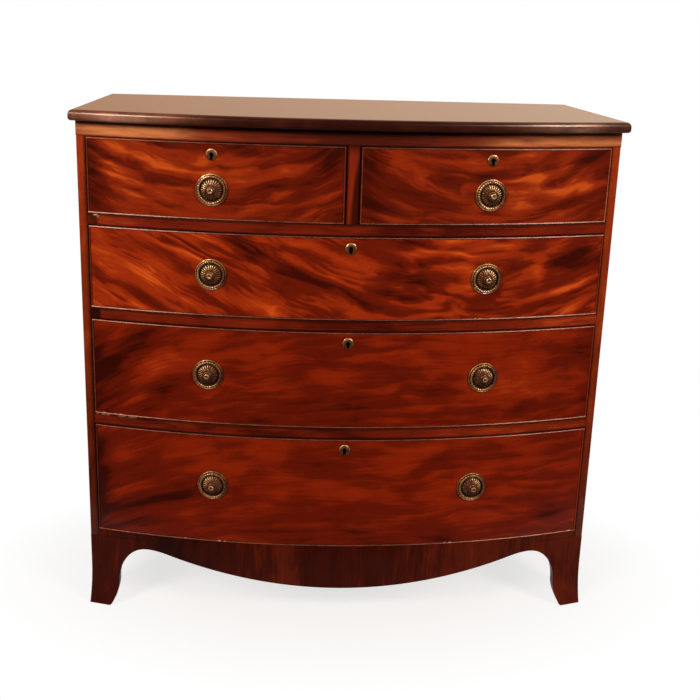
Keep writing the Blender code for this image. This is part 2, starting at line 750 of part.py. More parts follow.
def make_lock(drawer, material):
    """Drawer lock: a plate and case with a channel for the bolt, open at the top."""
    plate, case = lock_shape(drawer, 0.0)
    lock = make_piece("lock_" + drawer.name, plate, material)
    fuse(lock, case)
    half = BOLT_WIDTH / 2 + JOINT_GAP
    centre = FRONT_THICKNESS - LOCK_PLATE - LOCK_CASE_DEPTH / 2
    reach = BOLT_THICKNESS / 2 + JOINT_GAP
    z_span = (-BOLT_LENGTH - 2 * JOINT_GAP, CUT_THROUGH)
    channel = block((-half, half), (centre - reach, centre + reach), z_span)
    cut(lock, moved(channel, bow_frame(drawer.lock_x, drawer.high)))
    return lock


def make_bolt(drawer, material):
    """Lock bolt that slides up out of the lock, with a notch for the key."""
    half = BOLT_WIDTH / 2
    notch = BOLT_TALON / 2
    top = -JOINT_GAP
    foot = top - BOLT_LENGTH
    outline = [
        (-half, foot),
        (-notch, foot),
        (-notch, foot + BOLT_TALON),
        (notch, foot + BOLT_TALON),
        (notch, foot),
        (half, foot),
        (half, top - BOLT_CORNER),
        (half - BOLT_CORNER, top),
        (BOLT_CORNER - half, top),
        (-half, top - BOLT_CORNER),
    ]
    reach = BOLT_THICKNESS / 2
    shape = loft([[(x, y, z) for x, z in outline] for y in (-reach, reach)])
    bolt = make_piece("lock_bolt_" + drawer.name, shape, material)
    centre = FRONT_THICKNESS - LOCK_PLATE - LOCK_CASE_DEPTH / 2
    bolt.matrix_world = bow_frame(drawer.lock_x, drawer.high) @ Matrix.Translation((0, centre, 0))
    return bolt


def turned(profile, steps):
    """Solid turned about Y from (radius, y) points that start and end on the axis."""
    inner = profile[1:-1]
    points = [(0.0, profile[0][1], 0.0), (0.0, profile[-1][1], 0.0)]
    angles = [2 * math.pi * i / steps for i in range(steps)]
    for radius, y in inner:
        points += [(radius * math.cos(a), y, radius * math.sin(a)) for a in angles]
    faces = []
    last = 2 + (len(inner) - 1) * steps
    for i in range(steps):
        j = (i + 1) % steps
        faces.append((0, 2 + i, 2 + j))
        faces.append((1, last + j, last + i))
        for row in range(len(inner) - 1):
            here = 2 + row * steps
            faces.append((here + i, here + steps + i, here + steps + j, here + j))
    return points, faces


def escutcheon_mesh(material):
    """Round escutcheon with a soft edge and a keyhole, about the middle of its back."""
    back = -JOINT_GAP
    profile = [
        (0.0, back - ESCUTCHEON_PROUD),
        (ESCUTCHEON_RADIUS - ESCUTCHEON_BEVEL, back - ESCUTCHEON_PROUD),
        (ESCUTCHEON_RADIUS, back - ESCUTCHEON_EDGE),
        (ESCUTCHEON_RADIUS, back),
        (0.0, back),
    ]
    piece = make_piece("escutcheon", turned(profile, ESCUTCHEON_STEPS), material)
    cut(piece, keyhole_shape((-ESCUTCHEON_PROUD - CUT_THROUGH, CUT_THROUGH)))
    smooth_round(piece)
    mesh = piece.data
    bpy.data.objects.remove(piece, do_unlink=True)
    return mesh


def pull_plate_mesh(material):
    """Back plate of a pull, turned in one with its rosette, button, stud and nut.

    A lug above the rosette has a bore that the ring hangs in.
    """
    back = -JOINT_GAP
    floor = back - PLATE_THICKNESS
    trough_outer = PLATE_RADIUS - RIM_WIDTH
    nut_face = FRONT_THICKNESS + 2 * JOINT_GAP
    collar = back - ROSETTE_HEIGHT
    tip = back - PULL_PROJECTION
    profile = [
        (0.0, tip),
        (BUTTON_CROWN, tip + BUTTON_CROWN_DROP),
        (BUTTON_RADIUS, tip + BUTTON_DROP),
        (BUTTON_NECK, collar),
        (COLLAR_RADIUS, collar),
        (DOME_RADIUS, back - DOME_HEIGHT),
        (ROSETTE_RADIUS, back - ROSETTE_EDGE),
        (ROSETTE_RADIUS, floor),
        (trough_outer, floor),
        (PLATE_RADIUS - RIM_CREST, back - RIM_HEIGHT),
        (PLATE_RADIUS, back - RIM_EDGE),
        (PLATE_RADIUS, back),
        (STUD_RADIUS, back),
        (STUD_RADIUS, nut_face),
        (NUT_RADIUS, nut_face),
        (NUT_RADIUS, nut_face + NUT_THICKNESS),
        (0.0, nut_face + NUT_THICKNESS),
    ]
    piece = make_piece("pull_plate", turned(profile, PLATE_STEPS), material)
    hinge = Matrix.Translation((0, -JOINT_GAP - RING_HEIGHT, RING_RADIUS))
    across = hinge @ Matrix.Rotation(math.pi / 2, 4, "Z")
    outer = LUG_BORE + LUG_WALL
    half = LUG_WIDTH / 2
    fuse(piece, moved(disc(outer, LUG_STEPS, (-half, half)), across))
    cut(piece, moved(disc(LUG_BORE, LUG_STEPS, (-LUG_WIDTH, LUG_WIDTH)), across))
    smooth_round(piece)
    mesh = piece.data
    bpy.data.objects.remove(piece, do_unlink=True)
    return mesh


def ring_mesh():
    """Pull ring that hangs from the origin, its top on the hinge axis."""
    points = []
    faces = []
    for i in range(RING_STEPS):
        around = 2 * math.pi * i / RING_STEPS
        for k in range(RING_SIDES):
            turn = 2 * math.pi * k / RING_SIDES
            radius = RING_RADIUS + RING_SECTION * math.cos(turn)
            height = radius * math.cos(around) - RING_RADIUS
            points.append((radius * math.sin(around), RING_SECTION * math.sin(turn), height))
            here = i * RING_SIDES + k
            side = i * RING_SIDES + (k + 1) % RING_SIDES
            ahead = (here + RING_SIDES) % (RING_STEPS * RING_SIDES)
            ahead_side = (side + RING_SIDES) % (RING_STEPS * RING_SIDES)
            faces.append((here, ahead, ahead_side, side))
    mesh = make_mesh("pull_ring", (points, faces))
    mesh.shade_smooth()
    return mesh


def group_drawer(drawer, pieces):
    """Parent a drawer's pieces to an empty in the middle of its face."""
    middle = (drawer.left + drawer.right) / 2
    place = Matrix.Translation((middle, bow_y(middle), (drawer.low + drawer.high) / 2))
    slide = bpy.data.objects.new("drawer_" + drawer.name, None)
    slide.matrix_world = place
    bpy.context.scene.collection.objects.link(slide)
    for piece in pieces:
        piece.parent = slide
        piece.matrix_parent_inverse = place.inverted()


def build_case(drawers, mahogany, dark, polished, pine):
    """The fixed case: top, sides, back, rails, boards, apron and feet."""
    make_top(polished)
    make_side("side_left", -1, mahogany)
    make_side("side_right", 1, mahogany)
    make_back(pine)
    lock_x = {drawer.name: drawer.lock_x for drawer in drawers}
    make_top_rail([lock_x["short_left"], lock_x["short_right"]], mahogany)
    rails = (("1", RAIL_1_Z, "upper"), ("2", RAIL_2_Z, "middle"), ("3", RAIL_3_Z, "lower"))
    for number, z, below in rails:
        make_rail("rail_" + number, z, lock_x[below], mahogany)
        make_dust_board("dust_board_" + number, z, pine)
    make_muntin(mahogany)
    make_partition(pine)
    make_bottom_board(pine)
    make_apron(dark)
    for side, hand in (("left", -1), ("right", 1)):
        make_foot("foot_front_" + side, hand, True, dark)
        make_foot("foot_rear_" + side, hand, False, dark)


def build_drawers(drawers, flame, oak, brass, iron):
    """The drawers, each with its front, box, escutcheon, lock, bolt and pulls."""
    escutcheon = escutcheon_mesh(brass)
    plate = pull_plate_mesh(brass)
    ring = ring_mesh()
    hinge = Matrix.Translation((0, -JOINT_GAP - RING_HEIGHT, RING_RADIUS))
    for drawer in drawers:
        pieces = [
            make_drawer_front(drawer, flame),
            make_drawer_box(drawer, oak),
            make_lock(drawer, iron),
            make_bolt(drawer, brass),
        ]
        key_plate = make_piece("escutcheon_" + drawer.name, escutcheon, brass)
        key_plate.matrix_world = bow_frame(drawer.lock_x, drawer.high - KEYHOLE_DROP)
        pieces.append(key_plate)
        for name, x, z in drawer.pulls:
            pull = make_piece("pull_plate_" + name, plate, brass)
            pull.matrix_world = bow_frame(x, z)
            hanging = make_piece("pull_ring_" + name, ring, brass)
            hanging.matrix_world = bow_frame(x, z) @ hinge
            pieces += [pull, hanging]
        group_drawer(drawer, pieces)


clear_scene()
DRAWERS = drawer_list()
build_case(
    DRAWERS,
    make_material("mahogany", (0.20, 0.045, 0.012), 0.32),
    make_material("dark_mahogany", (0.055, 0.012, 0.006), 0.35),
    make_material("polished_mahogany", (0.16, 0.055, 0.025), 0.22),
    make_material("pine", (0.42, 0.27, 0.14), 0.70),
)
build_drawers(
    DRAWERS,
    make_material("flame_mahogany", (0.26, 0.045, 0.010), 0.28),
    make_material("oak", (0.36, 0.22, 0.10), 0.65),
    make_material("aged_brass", (0.40, 0.26, 0.11), 0.38, 1.0),
    make_material("lock_steel", (0.22, 0.20, 0.18), 0.45, 1.0),
)
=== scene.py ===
import json
import math

import bmesh
import bpy
import numpy as np
from mathutils import Matrix, Vector


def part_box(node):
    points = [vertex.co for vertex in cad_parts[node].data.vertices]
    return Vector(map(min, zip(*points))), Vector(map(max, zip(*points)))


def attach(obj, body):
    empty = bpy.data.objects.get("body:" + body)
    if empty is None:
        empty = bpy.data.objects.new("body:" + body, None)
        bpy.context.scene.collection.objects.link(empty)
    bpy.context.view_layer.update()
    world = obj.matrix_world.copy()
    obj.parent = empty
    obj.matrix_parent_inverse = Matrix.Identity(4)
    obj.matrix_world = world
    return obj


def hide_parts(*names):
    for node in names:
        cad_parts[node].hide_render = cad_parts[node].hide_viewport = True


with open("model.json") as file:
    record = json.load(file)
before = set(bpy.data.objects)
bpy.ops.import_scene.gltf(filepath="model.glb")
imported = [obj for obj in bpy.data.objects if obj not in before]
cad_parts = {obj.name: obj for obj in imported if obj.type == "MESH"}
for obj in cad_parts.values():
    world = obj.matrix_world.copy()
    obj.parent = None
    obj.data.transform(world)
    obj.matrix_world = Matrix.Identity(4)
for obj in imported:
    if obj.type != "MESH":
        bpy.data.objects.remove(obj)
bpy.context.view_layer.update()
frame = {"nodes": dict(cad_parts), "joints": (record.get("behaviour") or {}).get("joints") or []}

# Case sides
# Two solid mahogany boards, planed and french polished. Their front edges show as stiles on
# each side of the drawers, and their lower edges are cut away between the feet.
HANDS = (("left", -1), ("right", 1))
SIDE_ARRIS = 0.0016
EDGE_ZONE = 4 * SIDE_ARRIS
STILE_STEPS = 8
BOARD_STEPS = 4
JOINT_GAP = 0.0003
REBATE_STEP = 1e-5
SMOOTH_ANGLE = math.radians(38.0)

# For each hand: strength and reach of the painted shade along the stile's inner edge, and how much lighter
# the wood is at three heights, shares of the case's height, which changes the painted darkening at the foot
STILE_PAINTED_SHADE = {-1: (0.80, 0.0055), 1: (0.50, 0.0032)}
STILE_HEIGHTS = (0.0, 0.8, 1.0)
STILE_SHADE = {-1: (-0.08, -0.02, 0.09), 1: (0.22, 0.045, 0.0)}


def bump(value, middle, reach, power=2):
    """Soft bump: 1 at the middle, about a third at the reach, and squarer for a higher power."""
    return np.exp(-((value - middle) / reach) ** power)


def ramp(value, start, end):
    """Slope from 0 at start to 1 at end, level beyond both."""
    return np.clip((value - start) / (end - start), 0, 1)


def node_points(name):
    """Corners of a CAD node as rows of x, y and z."""
    vertices = frame["nodes"][name].data.vertices
    flat = np.empty(len(vertices) * 3)
    vertices.foreach_get("co", flat)
    return flat.reshape(-1, 3)


def grid(x, y, z):
    """Points of a surface, from x, y and z that are spread to one shape."""
    return np.stack(np.broadcast_arrays(x, y, z), axis=-1)


def surface(name, points, form, keep=None):
    """Object of a grid of points with one quad per cell.

    A sheet has open edges, a bar joins its last column to its first and has a cap on its first and
    its last row, and a loop joins both directions. Cells where keep is false are left out.
    """
    rows, columns = points.shape[:2]
    index = np.arange(rows * columns).reshape(rows, columns)
    caps = index[[0, -1]].tolist() if form == "bar" else []
    if form == "loop":
        index = np.vstack([index, index[:1]])
    if form != "sheet":
        index = np.hstack([index, index[:, :1]])
    corners = (index[:-1, :-1], index[:-1, 1:], index[1:, 1:], index[1:, :-1])
    quads = np.stack(corners, axis=-1)
    quads = quads.reshape(-1, 4) if keep is None else quads[keep]
    faces = quads.tolist() + caps
    mesh = bpy.data.meshes.new(name)
    mesh.from_pydata(points.reshape(-1, 3).tolist(), [], faces)
    shell = bmesh.new()
    shell.from_mesh(mesh)
    bmesh.ops.recalc_face_normals(shell, faces=shell.faces)
    shell.to_mesh(mesh)
    shell.free()
    mesh.shade_smooth()
    mesh.set_sharp_from_angle(angle=SMOOTH_ANGLE)
    piece = bpy.data.objects.new(name, mesh)
    bpy.context.scene.collection.objects.link(piece)
    return piece


def fit(piece, material, slot, body, *nodes):
    """Give a piece its material and body, and hide the CAD nodes that it stands for. The slot is not used."""
    piece.data.materials.append(material)
    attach(piece, body)
    if nodes:
        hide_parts(*nodes)


def mark(piece, name, values, least=0.0):
    """Keep a value from least to 1 at each point of a piece, for its material to read."""
    layer = piece.data.attributes.new(name, "FLOAT", "POINT")
    layer.data.foreach_set("value", np.clip(values, least, 1).astype(np.float32).ravel())


def inset_outline(outline, inset):
    """Closed outline moved inwards: each corner goes along the mitre of its two edges."""
    ahead = np.roll(outline, -1, axis=0) - outline
    ahead /= np.linalg.norm(ahead, axis=1, keepdims=True)
    behind = np.roll(ahead, 1, axis=0)
    normal_ahead = np.stack([-ahead[:, 1], ahead[:, 0]], axis=1)
    normal_behind = np.stack([-behind[:, 1], behind[:, 0]], axis=1)
    mitre = normal_ahead + normal_behind
    mitre /= (1 + (normal_ahead * normal_behind).sum(axis=1, keepdims=True))
    return outline + inset * mitre


def quarter_round(radius, steps):
    """Quarter circle at a corner, from one face to the next: how far it draws in and how far it rises."""
    turn = np.linspace(0, math.pi / 2, steps + 1)
    return radius * (1 - np.sin(turn)), radius * (1 - np.cos(turn))


def rounded_slab(outline, low, high, radius, steps, middle):
    """Rings of a flat board: the outline, drawn in by a quarter round at both faces.

    The middle heights lie between the rounds. Returns an array of ring, corner, and (first, second,
    height) with the height along the board.
    """
    inset, rise = quarter_round(radius, steps)
    insets = np.concatenate([inset, np.zeros_like(middle), inset[::-1]])
    heights = np.concatenate([low + rise, middle, high - rise[::-1]])
    flat = np.stack([inset_outline(outline, value) for value in insets])
    return np.concatenate([flat, np.broadcast_to(heights[:, None, None], flat.shape[:2] + (1,))], axis=2)


def connect(tree, inputs, values):
    """Fill input sockets by their keys: another socket is linked, and a plain value is written in."""
    for key, value in values.items():
        if isinstance(value, bpy.types.NodeSocket):
            tree.links.new(value, inputs[key])
        else:
            inputs[key].default_value = value


def add(tree, kind, values=None, **settings):
    """New node with its settings and its inputs filled."""
    node = tree.nodes.new(kind)
    for key, value in settings.items():
        setattr(node, key, value)
    connect(tree, node.inputs, values or {})
    return node


def math_node(tree, operation, first, second=0.0, third=0.0, clamp=False):
    """Output of a Math node."""
    values = {0: first, 1: second, 2: third}
    return add(tree, "ShaderNodeMath", values, operation=operation, use_clamp=clamp).outputs[0]


def vector_node(tree, operation, first, second=(0.0, 0.0, 0.0), scale=1.0):
    """Outputs of a Vector Math node."""
    values = {0: first, 1: second, 3: scale}
    return add(tree, "ShaderNodeVectorMath", values, operation=operation).outputs


def map_range(tree, value, low, high, first=0.0, last=1.0):
    """Value carried over from the span of low to high to the span of first to last, and kept in it."""
    return add(tree, "ShaderNodeMapRange", {0: value, 1: low, 2: high, 3: first, 4: last}).outputs[0]


def mixed(tree, share, first, second, kind="RGBA", blend="MIX"):
    """Mix of two colours, or of two vectors or values where the kind says so."""
    values = {"Factor": share, "A": first, "B": second}
    return add(tree, "ShaderNodeMix", values, data_type=kind, blend_type=blend).outputs["Result"]


def axes_of(tree, vector):
    """X, Y and Z of a vector."""
    return add(tree, "ShaderNodeSeparateXYZ", {0: vector}).outputs


def own_place(tree):
    """Place of a point in its object's own coordinates."""
    return add(tree, "ShaderNodeTexCoord").outputs["Object"]


def kept_value(tree, name):
    """Value that a piece keeps at its points under a name."""
    return add(tree, "ShaderNodeAttribute", attribute_name=name).outputs["Fac"]


def scaled_noise(tree, vector, scale, detail, distortion=0.0, roughness=0.5, seed=0.0):
    """Outputs of a noise on a vector that is stretched by its own scale along each axis."""
    stretched = vector_node(tree, "MULTIPLY", vector, scale)[0]
    values = {"Vector": stretched, "W": seed, "Scale": 1.0, "Detail": detail}
    values.update({"Roughness": roughness, "Distortion": distortion})
    return add(tree, "ShaderNodeTexNoise", values, noise_dimensions="4D").outputs


def warped(tree, vector, noise, reach, share):
    """Vector moved by a colour noise, by up to half of its reach to each side."""
    centred = vector_node(tree, "SUBTRACT", noise, (0.5, 0.5, 0.5))[0]
    moved = vector_node(tree, "MULTIPLY", centred, reach)[0]
    moved = vector_node(tree, "SCALE", moved, scale=share)[0]
    return vector_node(tree, "ADD", vector, moved)[0]


def colour_ramp(tree, value, stops):
    """Colour that a value gives on a smooth ramp of stops, each a place and a colour."""
    node = add(tree, "ShaderNodeValToRGB", {"Fac": value})
    node.color_ramp.interpolation = "EASE"
    for _ in stops[2:]:
        node.color_ramp.elements.new(0.5)
    for element, (place, colour) in zip(node.color_ramp.elements, stops):
        element.position = place
        element.color = (*colour, 1.0)
    return node.outputs["Color"]


def new_group(name, inputs, outputs):
    """Shader node group from a vector and named values to other named values.

    Returns its tree, the sockets that it is given and the sockets of its result.
    """
    tree = bpy.data.node_groups.new(name, "ShaderNodeTree")
    tree.interface.new_socket("Vector", in_out="INPUT", socket_type="NodeSocketVector")
    for socket in inputs:
        tree.interface.new_socket(socket, in_out="INPUT", socket_type="NodeSocketFloat")
    for socket in outputs:
        tree.interface.new_socket(socket, in_out="OUTPUT", socket_type="NodeSocketFloat")
    return tree, tree.nodes.new("NodeGroupInput").outputs, tree.nodes.new("NodeGroupOutput").inputs


def new_material(name):
    """New material, its node tree and the inputs of its shader."""
    material = bpy.data.materials.new(name)
    material.use_nodes = True
    return material, material.node_tree, material.node_tree.nodes["Principled BSDF"].inputs


# Mahogany figure: broad patches, wide and fine lopsided flame bands, streaks and open pores, all
# drawn out along the grain and bent by a wide and a narrow swirl. The vector's first axis runs
# along the grain, in metres. Each noise has its cells per metre along, across and through the
# grain, its detail, its distortion and its roughness.
FIGURE_NOISES = {
    "swirl": ((5.0, 10.0, 5.0), 1.5, 0.0, 0.5),
    "curl": ((15.0, 28.0, 15.0), 1.0, 0.0, 0.5),
    "broad": ((5.0, 13.0, 5.0), 2.5, 0.5, 0.55),
    "drift": ((3.5, 9.0, 3.5), 2.0, 0.0, 0.5),
    "lively": ((4.0, 8.0, 4.0), 1.0, 0.0, 0.5),
    "fine_drift": ((8.0, 20.0, 8.0), 2.0, 0.0, 0.5),
    "fine_lively": ((9.0, 22.0, 9.0), 1.0, 0.0, 0.5),
    "streaks": ((12.0, 34.0, 12.0), 3.0, 0.6, 0.52),
    "fibre": ((8.0, 330.0, 80.0), 2.0, 0.0, 0.55),
    "pores": ((70.0, 1500.0, 400.0), 1.0, 0.0, 0.5),
}
SWIRL_REACH = (0.12, 0.05, 0.0)
CURL_REACH = (0.045, 0.020, 0.0)
BAND_DRIFT = 5.0
FINE_BAND_DRIFT = 6.0
FINE_BANDS = 2.9
LIVELY_SPAN = (0.36, 0.62)
FINE_LIVELY_SPAN = (0.42, 0.66)
FINE_LIVELY_MOST = 0.5
PORE_SPAN = (0.60, 0.74)
SEED_STEP = 5.0
figure_group, given, result = new_group(
    "mahogany_figure",
    ("Seed", "Broad", "Bands", "Pitch", "Streaks", "Fibre", "Warp", "Shade"),
    ("Tone", "Pores"),
)
seed = given["Seed"]
other_seed = math_node(figure_group, "ADD", seed, SEED_STEP)


def figure_noise(kind, vector, noise_seed):
    """Outputs of one of the figure's noises."""
    return scaled_noise(figure_group, vector, *FIGURE_NOISES[kind], noise_seed)


swirl = figure_noise("swirl", given["Vector"], seed)["Color"]
bent = warped(figure_group, given["Vector"], swirl, SWIRL_REACH, given["Warp"])
curl = figure_noise("curl", bent, other_seed)["Color"]
curled = warped(figure_group, bent, curl, CURL_REACH, given["Warp"])
across = axes_of(figure_group, curled)["Y"]


def flame_bands(pitch, drift, lively, rise, fall):
    """Lopsided bands across the grain: a saw's teeth that rise slowly and fall quickly.

    Drift moves them to and fro, and lively is how strong they are from place to place.
    """
    saw = math_node(figure_group, "FRACT", math_node(figure_group, "MULTIPLY_ADD", across, pitch, drift))
    up = math_node(figure_group, "MULTIPLY", saw, rise)
    down = math_node(figure_group, "MULTIPLY", math_node(figure_group, "SUBTRACT", 1.0, saw), fall)
    tooth = math_node(figure_group, "SUBTRACT", math_node(figure_group, "MINIMUM", up, down), 0.5)
    return math_node(figure_group, "MULTIPLY", tooth, lively)


drift = math_node(figure_group, "MULTIPLY", figure_noise("drift", curled, seed)["Fac"], BAND_DRIFT)
lively = map_range(figure_group, figure_noise("lively", bent, other_seed)["Fac"], *LIVELY_SPAN)
wide_bands = flame_bands(given["Pitch"], drift, lively, rise=1.45, fall=3.2)
fine_drift = figure_noise("fine_drift", curled, other_seed)["Fac"]
drift = math_node(figure_group, "MULTIPLY", fine_drift, FINE_BAND_DRIFT)
fine_lively = figure_noise("fine_lively", bent, seed)["Fac"]
lively = map_range(figure_group, fine_lively, *FINE_LIVELY_SPAN, 0.0, FINE_LIVELY_MOST)
fine_pitch = math_node(figure_group, "MULTIPLY", given["Pitch"], FINE_BANDS)
fine_bands = flame_bands(fine_pitch, drift, lively, rise=1.3, fall=3.4)
bands = math_node(figure_group, "ADD", fine_bands, wide_bands)
tone = math_node(figure_group, "ADD", given["Shade"], 0.5)
for kind, vector in (("broad", curled), ("streaks", curled), ("fibre", bent)):
    level = math_node(figure_group, "SUBTRACT", figure_noise(kind, vector, seed)["Fac"], 0.5)
    tone = math_node(figure_group, "MULTIPLY_ADD", level, given[kind.capitalize()], tone)
tone = math_node(figure_group, "MULTIPLY_ADD", bands, given["Bands"], tone, True)
pores = map_range(figure_group, figure_noise("pores", given["Vector"], seed)["Fac"], *PORE_SPAN)
connect(figure_group, result, {"Tone": tone, "Pores": pores})

PORE_TINT = (0.55, 0.45, 0.42)
HOLLOW_RIM = 1.2
HOLLOW_LEFT = 0.02


def mahogany(name, stops, turn=(0.0, 0.0, 0.0), seed=0.0, broad=0.6, bands=0.15, pitch=30.0, streaks=0.9,
             fibre=0.35, warp=1.0, along=None, shaded=False, roughness=(0.32, 0.46), coat=0.35,
             coat_roughness=0.07, specular=0.06, darkening=None, worn=(), hollow=None):
    """Polished mahogany: the figure's tone drives a colour ramp, and its pores dull and dent the polish.

    The grain runs along X of the object's coordinates after the turn, or along an attribute, and
    a shaded piece has an attribute that makes the wood lighter or darker from place to place.
    Darkening paints shade that grows towards the floor: a low and a high level and the share of the
    colour that is left at the low one. Worn is a row of attributes, each with the colour that it mixes
    in and how far it follows the grain; besides wear, they paint shade, sheen and glare. Hollow is a
    place and a radius inside which the wood is painted black, as shade seen through a keyhole. The coat
    is a weight, or an attribute that gives it.
    """
    material, tree, shader = new_material(name)
    if along:
        vector = add(tree, "ShaderNodeAttribute", attribute_name=along).outputs["Vector"]
    else:
        vector = add(tree, "ShaderNodeMapping", {"Vector": own_place(tree), "Rotation": turn}).outputs[0]
    values = {"Vector": vector, "Seed": seed, "Broad": broad, "Bands": bands, "Pitch": pitch}
    values.update({"Streaks": streaks, "Fibre": fibre, "Warp": warp})
    if shaded:
        values["Shade"] = kept_value(tree, "shade")
    figure = add(tree, "ShaderNodeGroup", values, node_tree=figure_group).outputs
    tones = colour_ramp(tree, figure["Tone"], stops)
    colour = mixed(tree, figure["Pores"], tones, (*PORE_TINT, 1.0), blend="MULTIPLY")
    if darkening:
        share = map_range(tree, axes_of(tree, own_place(tree))["Z"], *darkening)
        colour = vector_node(tree, "SCALE", colour, scale=share)[0]
    for layer, tint, grain in worn:
        share = math_node(tree, "MULTIPLY_ADD", figure["Tone"], 2 * grain, 1 - grain)
        share = math_node(tree, "MULTIPLY", kept_value(tree, layer), share, clamp=True)
        colour = mixed(tree, share, colour, (*tint, 1.0))
    if hollow:
        middle, radius = hollow
        away = vector_node(tree, "DISTANCE", own_place(tree), middle)["Value"]
        share = map_range(tree, away, radius, HOLLOW_RIM * radius, HOLLOW_LEFT)
        colour = vector_node(tree, "SCALE", colour, scale=share)[0]
    dent = {"Height": figure["Pores"], "Strength": 0.12, "Distance": 0.0002}
    connect(tree, shader, {
        "Base Color": colour,
        "Roughness": map_range(tree, figure["Pores"], 0.0, 1.0, *roughness),
        "Normal": add(tree, "ShaderNodeBump", dent, invert=True).outputs[0],
        "Coat Weight": kept_value(tree, coat) if isinstance(coat, str) else coat,
        "Coat Roughness": coat_roughness,
        "Specular IOR Level": specular,
    })
    return material


UPRIGHT = (0.0, math.pi / 2, 0.0)
# Near-black colour of painted shade along inner edges, and of the dark block at the left end of two rails
SHADE_AND_BLOCK_COLOUR = (0.012, 0.0025, 0.0015)
# The stile is painted darker towards the floor, as shade where less of the lamps' light reaches it
stile_mahogany = mahogany(
    "stile_mahogany",
    [(0.15, (0.10, 0.010, 0.003)), (0.5, (0.245, 0.028, 0.005)), (0.85, (0.38, 0.056, 0.010))],
    turn=UPRIGHT, seed=2.0, fibre=0.6, specular=0.05, coat=0.12, shaded=True,
    darkening=(0.12, 0.95, 0.20), worn=(("painted_shade_and_block", SHADE_AND_BLOCK_COLOUR, 0.0),),
)
rail_corners = node_points("top_rail")
case_half = rail_corners[:, 0].max()
corner_y = rail_corners[rail_corners[:, 0] > case_half - 1e-5, 1].min()
bow_rise = corner_y - rail_corners[:, 1].min()
bow_radius = (case_half ** 2 + bow_rise ** 2) / (2 * bow_rise)
bow_centre = corner_y - bow_rise + bow_radius
side_low, side_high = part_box("side_right")
case_inner = side_low.x
case_back = side_high.y
case_top = side_high.z
notch_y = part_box("top_rail")[1].y + JOINT_GAP
notch_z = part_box("top_rail")[0].z - JOINT_GAP
rebate_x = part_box("back_panel")[1].x + JOINT_GAP
rebate_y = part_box("back_panel")[0].y - JOINT_GAP
foot_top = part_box("foot_front_right")[1].z


def bow_y(x, depth=0.0):
    """Y on the arc that lies depth behind the bowed front: its centre less the height of the circle."""
    return bow_centre - np.sqrt((bow_radius - depth) ** 2 - x ** 2)


stile_y = float(bow_y((case_half + case_inner) / 2))
for side, hand in HANDS:
    arch_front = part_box("foot_front_" + side)[1].y
    arch_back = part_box("foot_rear_" + side)[0].y
    outline = np.array([
        (stile_y, foot_top), (arch_front, foot_top), (arch_front, side_low.z),
        (arch_back, side_low.z), (arch_back, foot_top), (case_back, foot_top),
        (case_back, case_top), (notch_y, case_top), (notch_y, notch_z), (stile_y, notch_z),
    ])
    middle = np.linspace(case_inner + SIDE_ARRIS, case_half - SIDE_ARRIS, STILE_STEPS + 2)[1:-1]
    middle = np.sort(np.concatenate([middle, [rebate_x, rebate_x + REBATE_STEP]]))
    rings = rounded_slab(outline, case_inner, case_half, SIDE_ARRIS, BOARD_STEPS, middle)
    ring_y, ring_z, ring_x = np.moveaxis(rings, -1, 0)
    front = ring_y < stile_y + EDGE_ZONE
    rebated = (ring_y > case_back - EDGE_ZONE) & (ring_x < rebate_x + REBATE_STEP / 2)
    slope = np.where(front, bow_y(ring_x) - stile_y, 0.0)
    depth = ring_y + slope - np.where(rebated, case_back - rebate_y, 0.0)
    points = grid(hand * ring_x, depth, ring_z)
    board = surface("case_side_" + side, points, "bar")
    most, reach = STILE_PAINTED_SHADE[hand]
    # Painted shade along the stile's inner edge, beside the gap round the drawers
    mark(board, "painted_shade_and_block", most * front * bump(ring_x, case_inner, reach))
    # Lighter or darker by height, which changes the painted shade towards the foot for each hand
    mark(board, "shade", np.interp(ring_z / case_top, STILE_HEIGHTS, STILE_SHADE[hand]), -1.0)
    fit(board, stile_mahogany, "mahogany", "case", "side_" + side)

# Back boards
# Wide pine boards set upright side by side in the rebates of the sides. They were left from
# the plane, with a narrow open joint between them, and have darkened with age.
BACK_BOARDS = 5
BACK_JOINT = 0.0022
BACK_JOINT_DEPTH = 0.004

# Plain sawn wood: growth rings that drift, fine lines along the grain, fibres and broad stains
sawn_group, given, result = new_group(
    "plain_sawn_wood", ("Seed", "Rings", "Drift", "Streaks"), ("Tone", "Fibre", "Stain"),
)


def sawn_noise(scale, detail, roughness=0.5):
    """Value of a noise with cells per metre along, across and through the grain."""
    return scaled_noise(sawn_group, given["Vector"], scale, detail, 0.0, roughness, given["Seed"])["Fac"]


axes = axes_of(sawn_group, given["Vector"])
across = math_node(sawn_group, "MULTIPLY_ADD", axes["Y"], 0.7, axes["Z"])
across = math_node(sawn_group, "MULTIPLY", across, given["Rings"])
across = math_node(sawn_group, "MULTIPLY_ADD", sawn_noise((1.6, 6.0, 6.0), 2.0), given["Drift"], across)
wave = math_node(sawn_group, "SINE", math_node(sawn_group, "MULTIPLY", across, 2 * math.pi))
rings = math_node(sawn_group, "POWER", map_range(sawn_group, wave, -1.0, 1.0), 1.8)
lines = map_range(sawn_group, sawn_noise((1.8, 130.0, 130.0), 3.0, 0.6), 0.34, 0.66)
connect(sawn_group, result, {
    "Tone": mixed(sawn_group, given["Streaks"], rings, lines, "FLOAT"),
    "Fibre": sawn_noise((10.0, 500.0, 500.0), 2.0),
    "Stain": sawn_noise((3.0, 5.0, 5.0), 3.0),
})


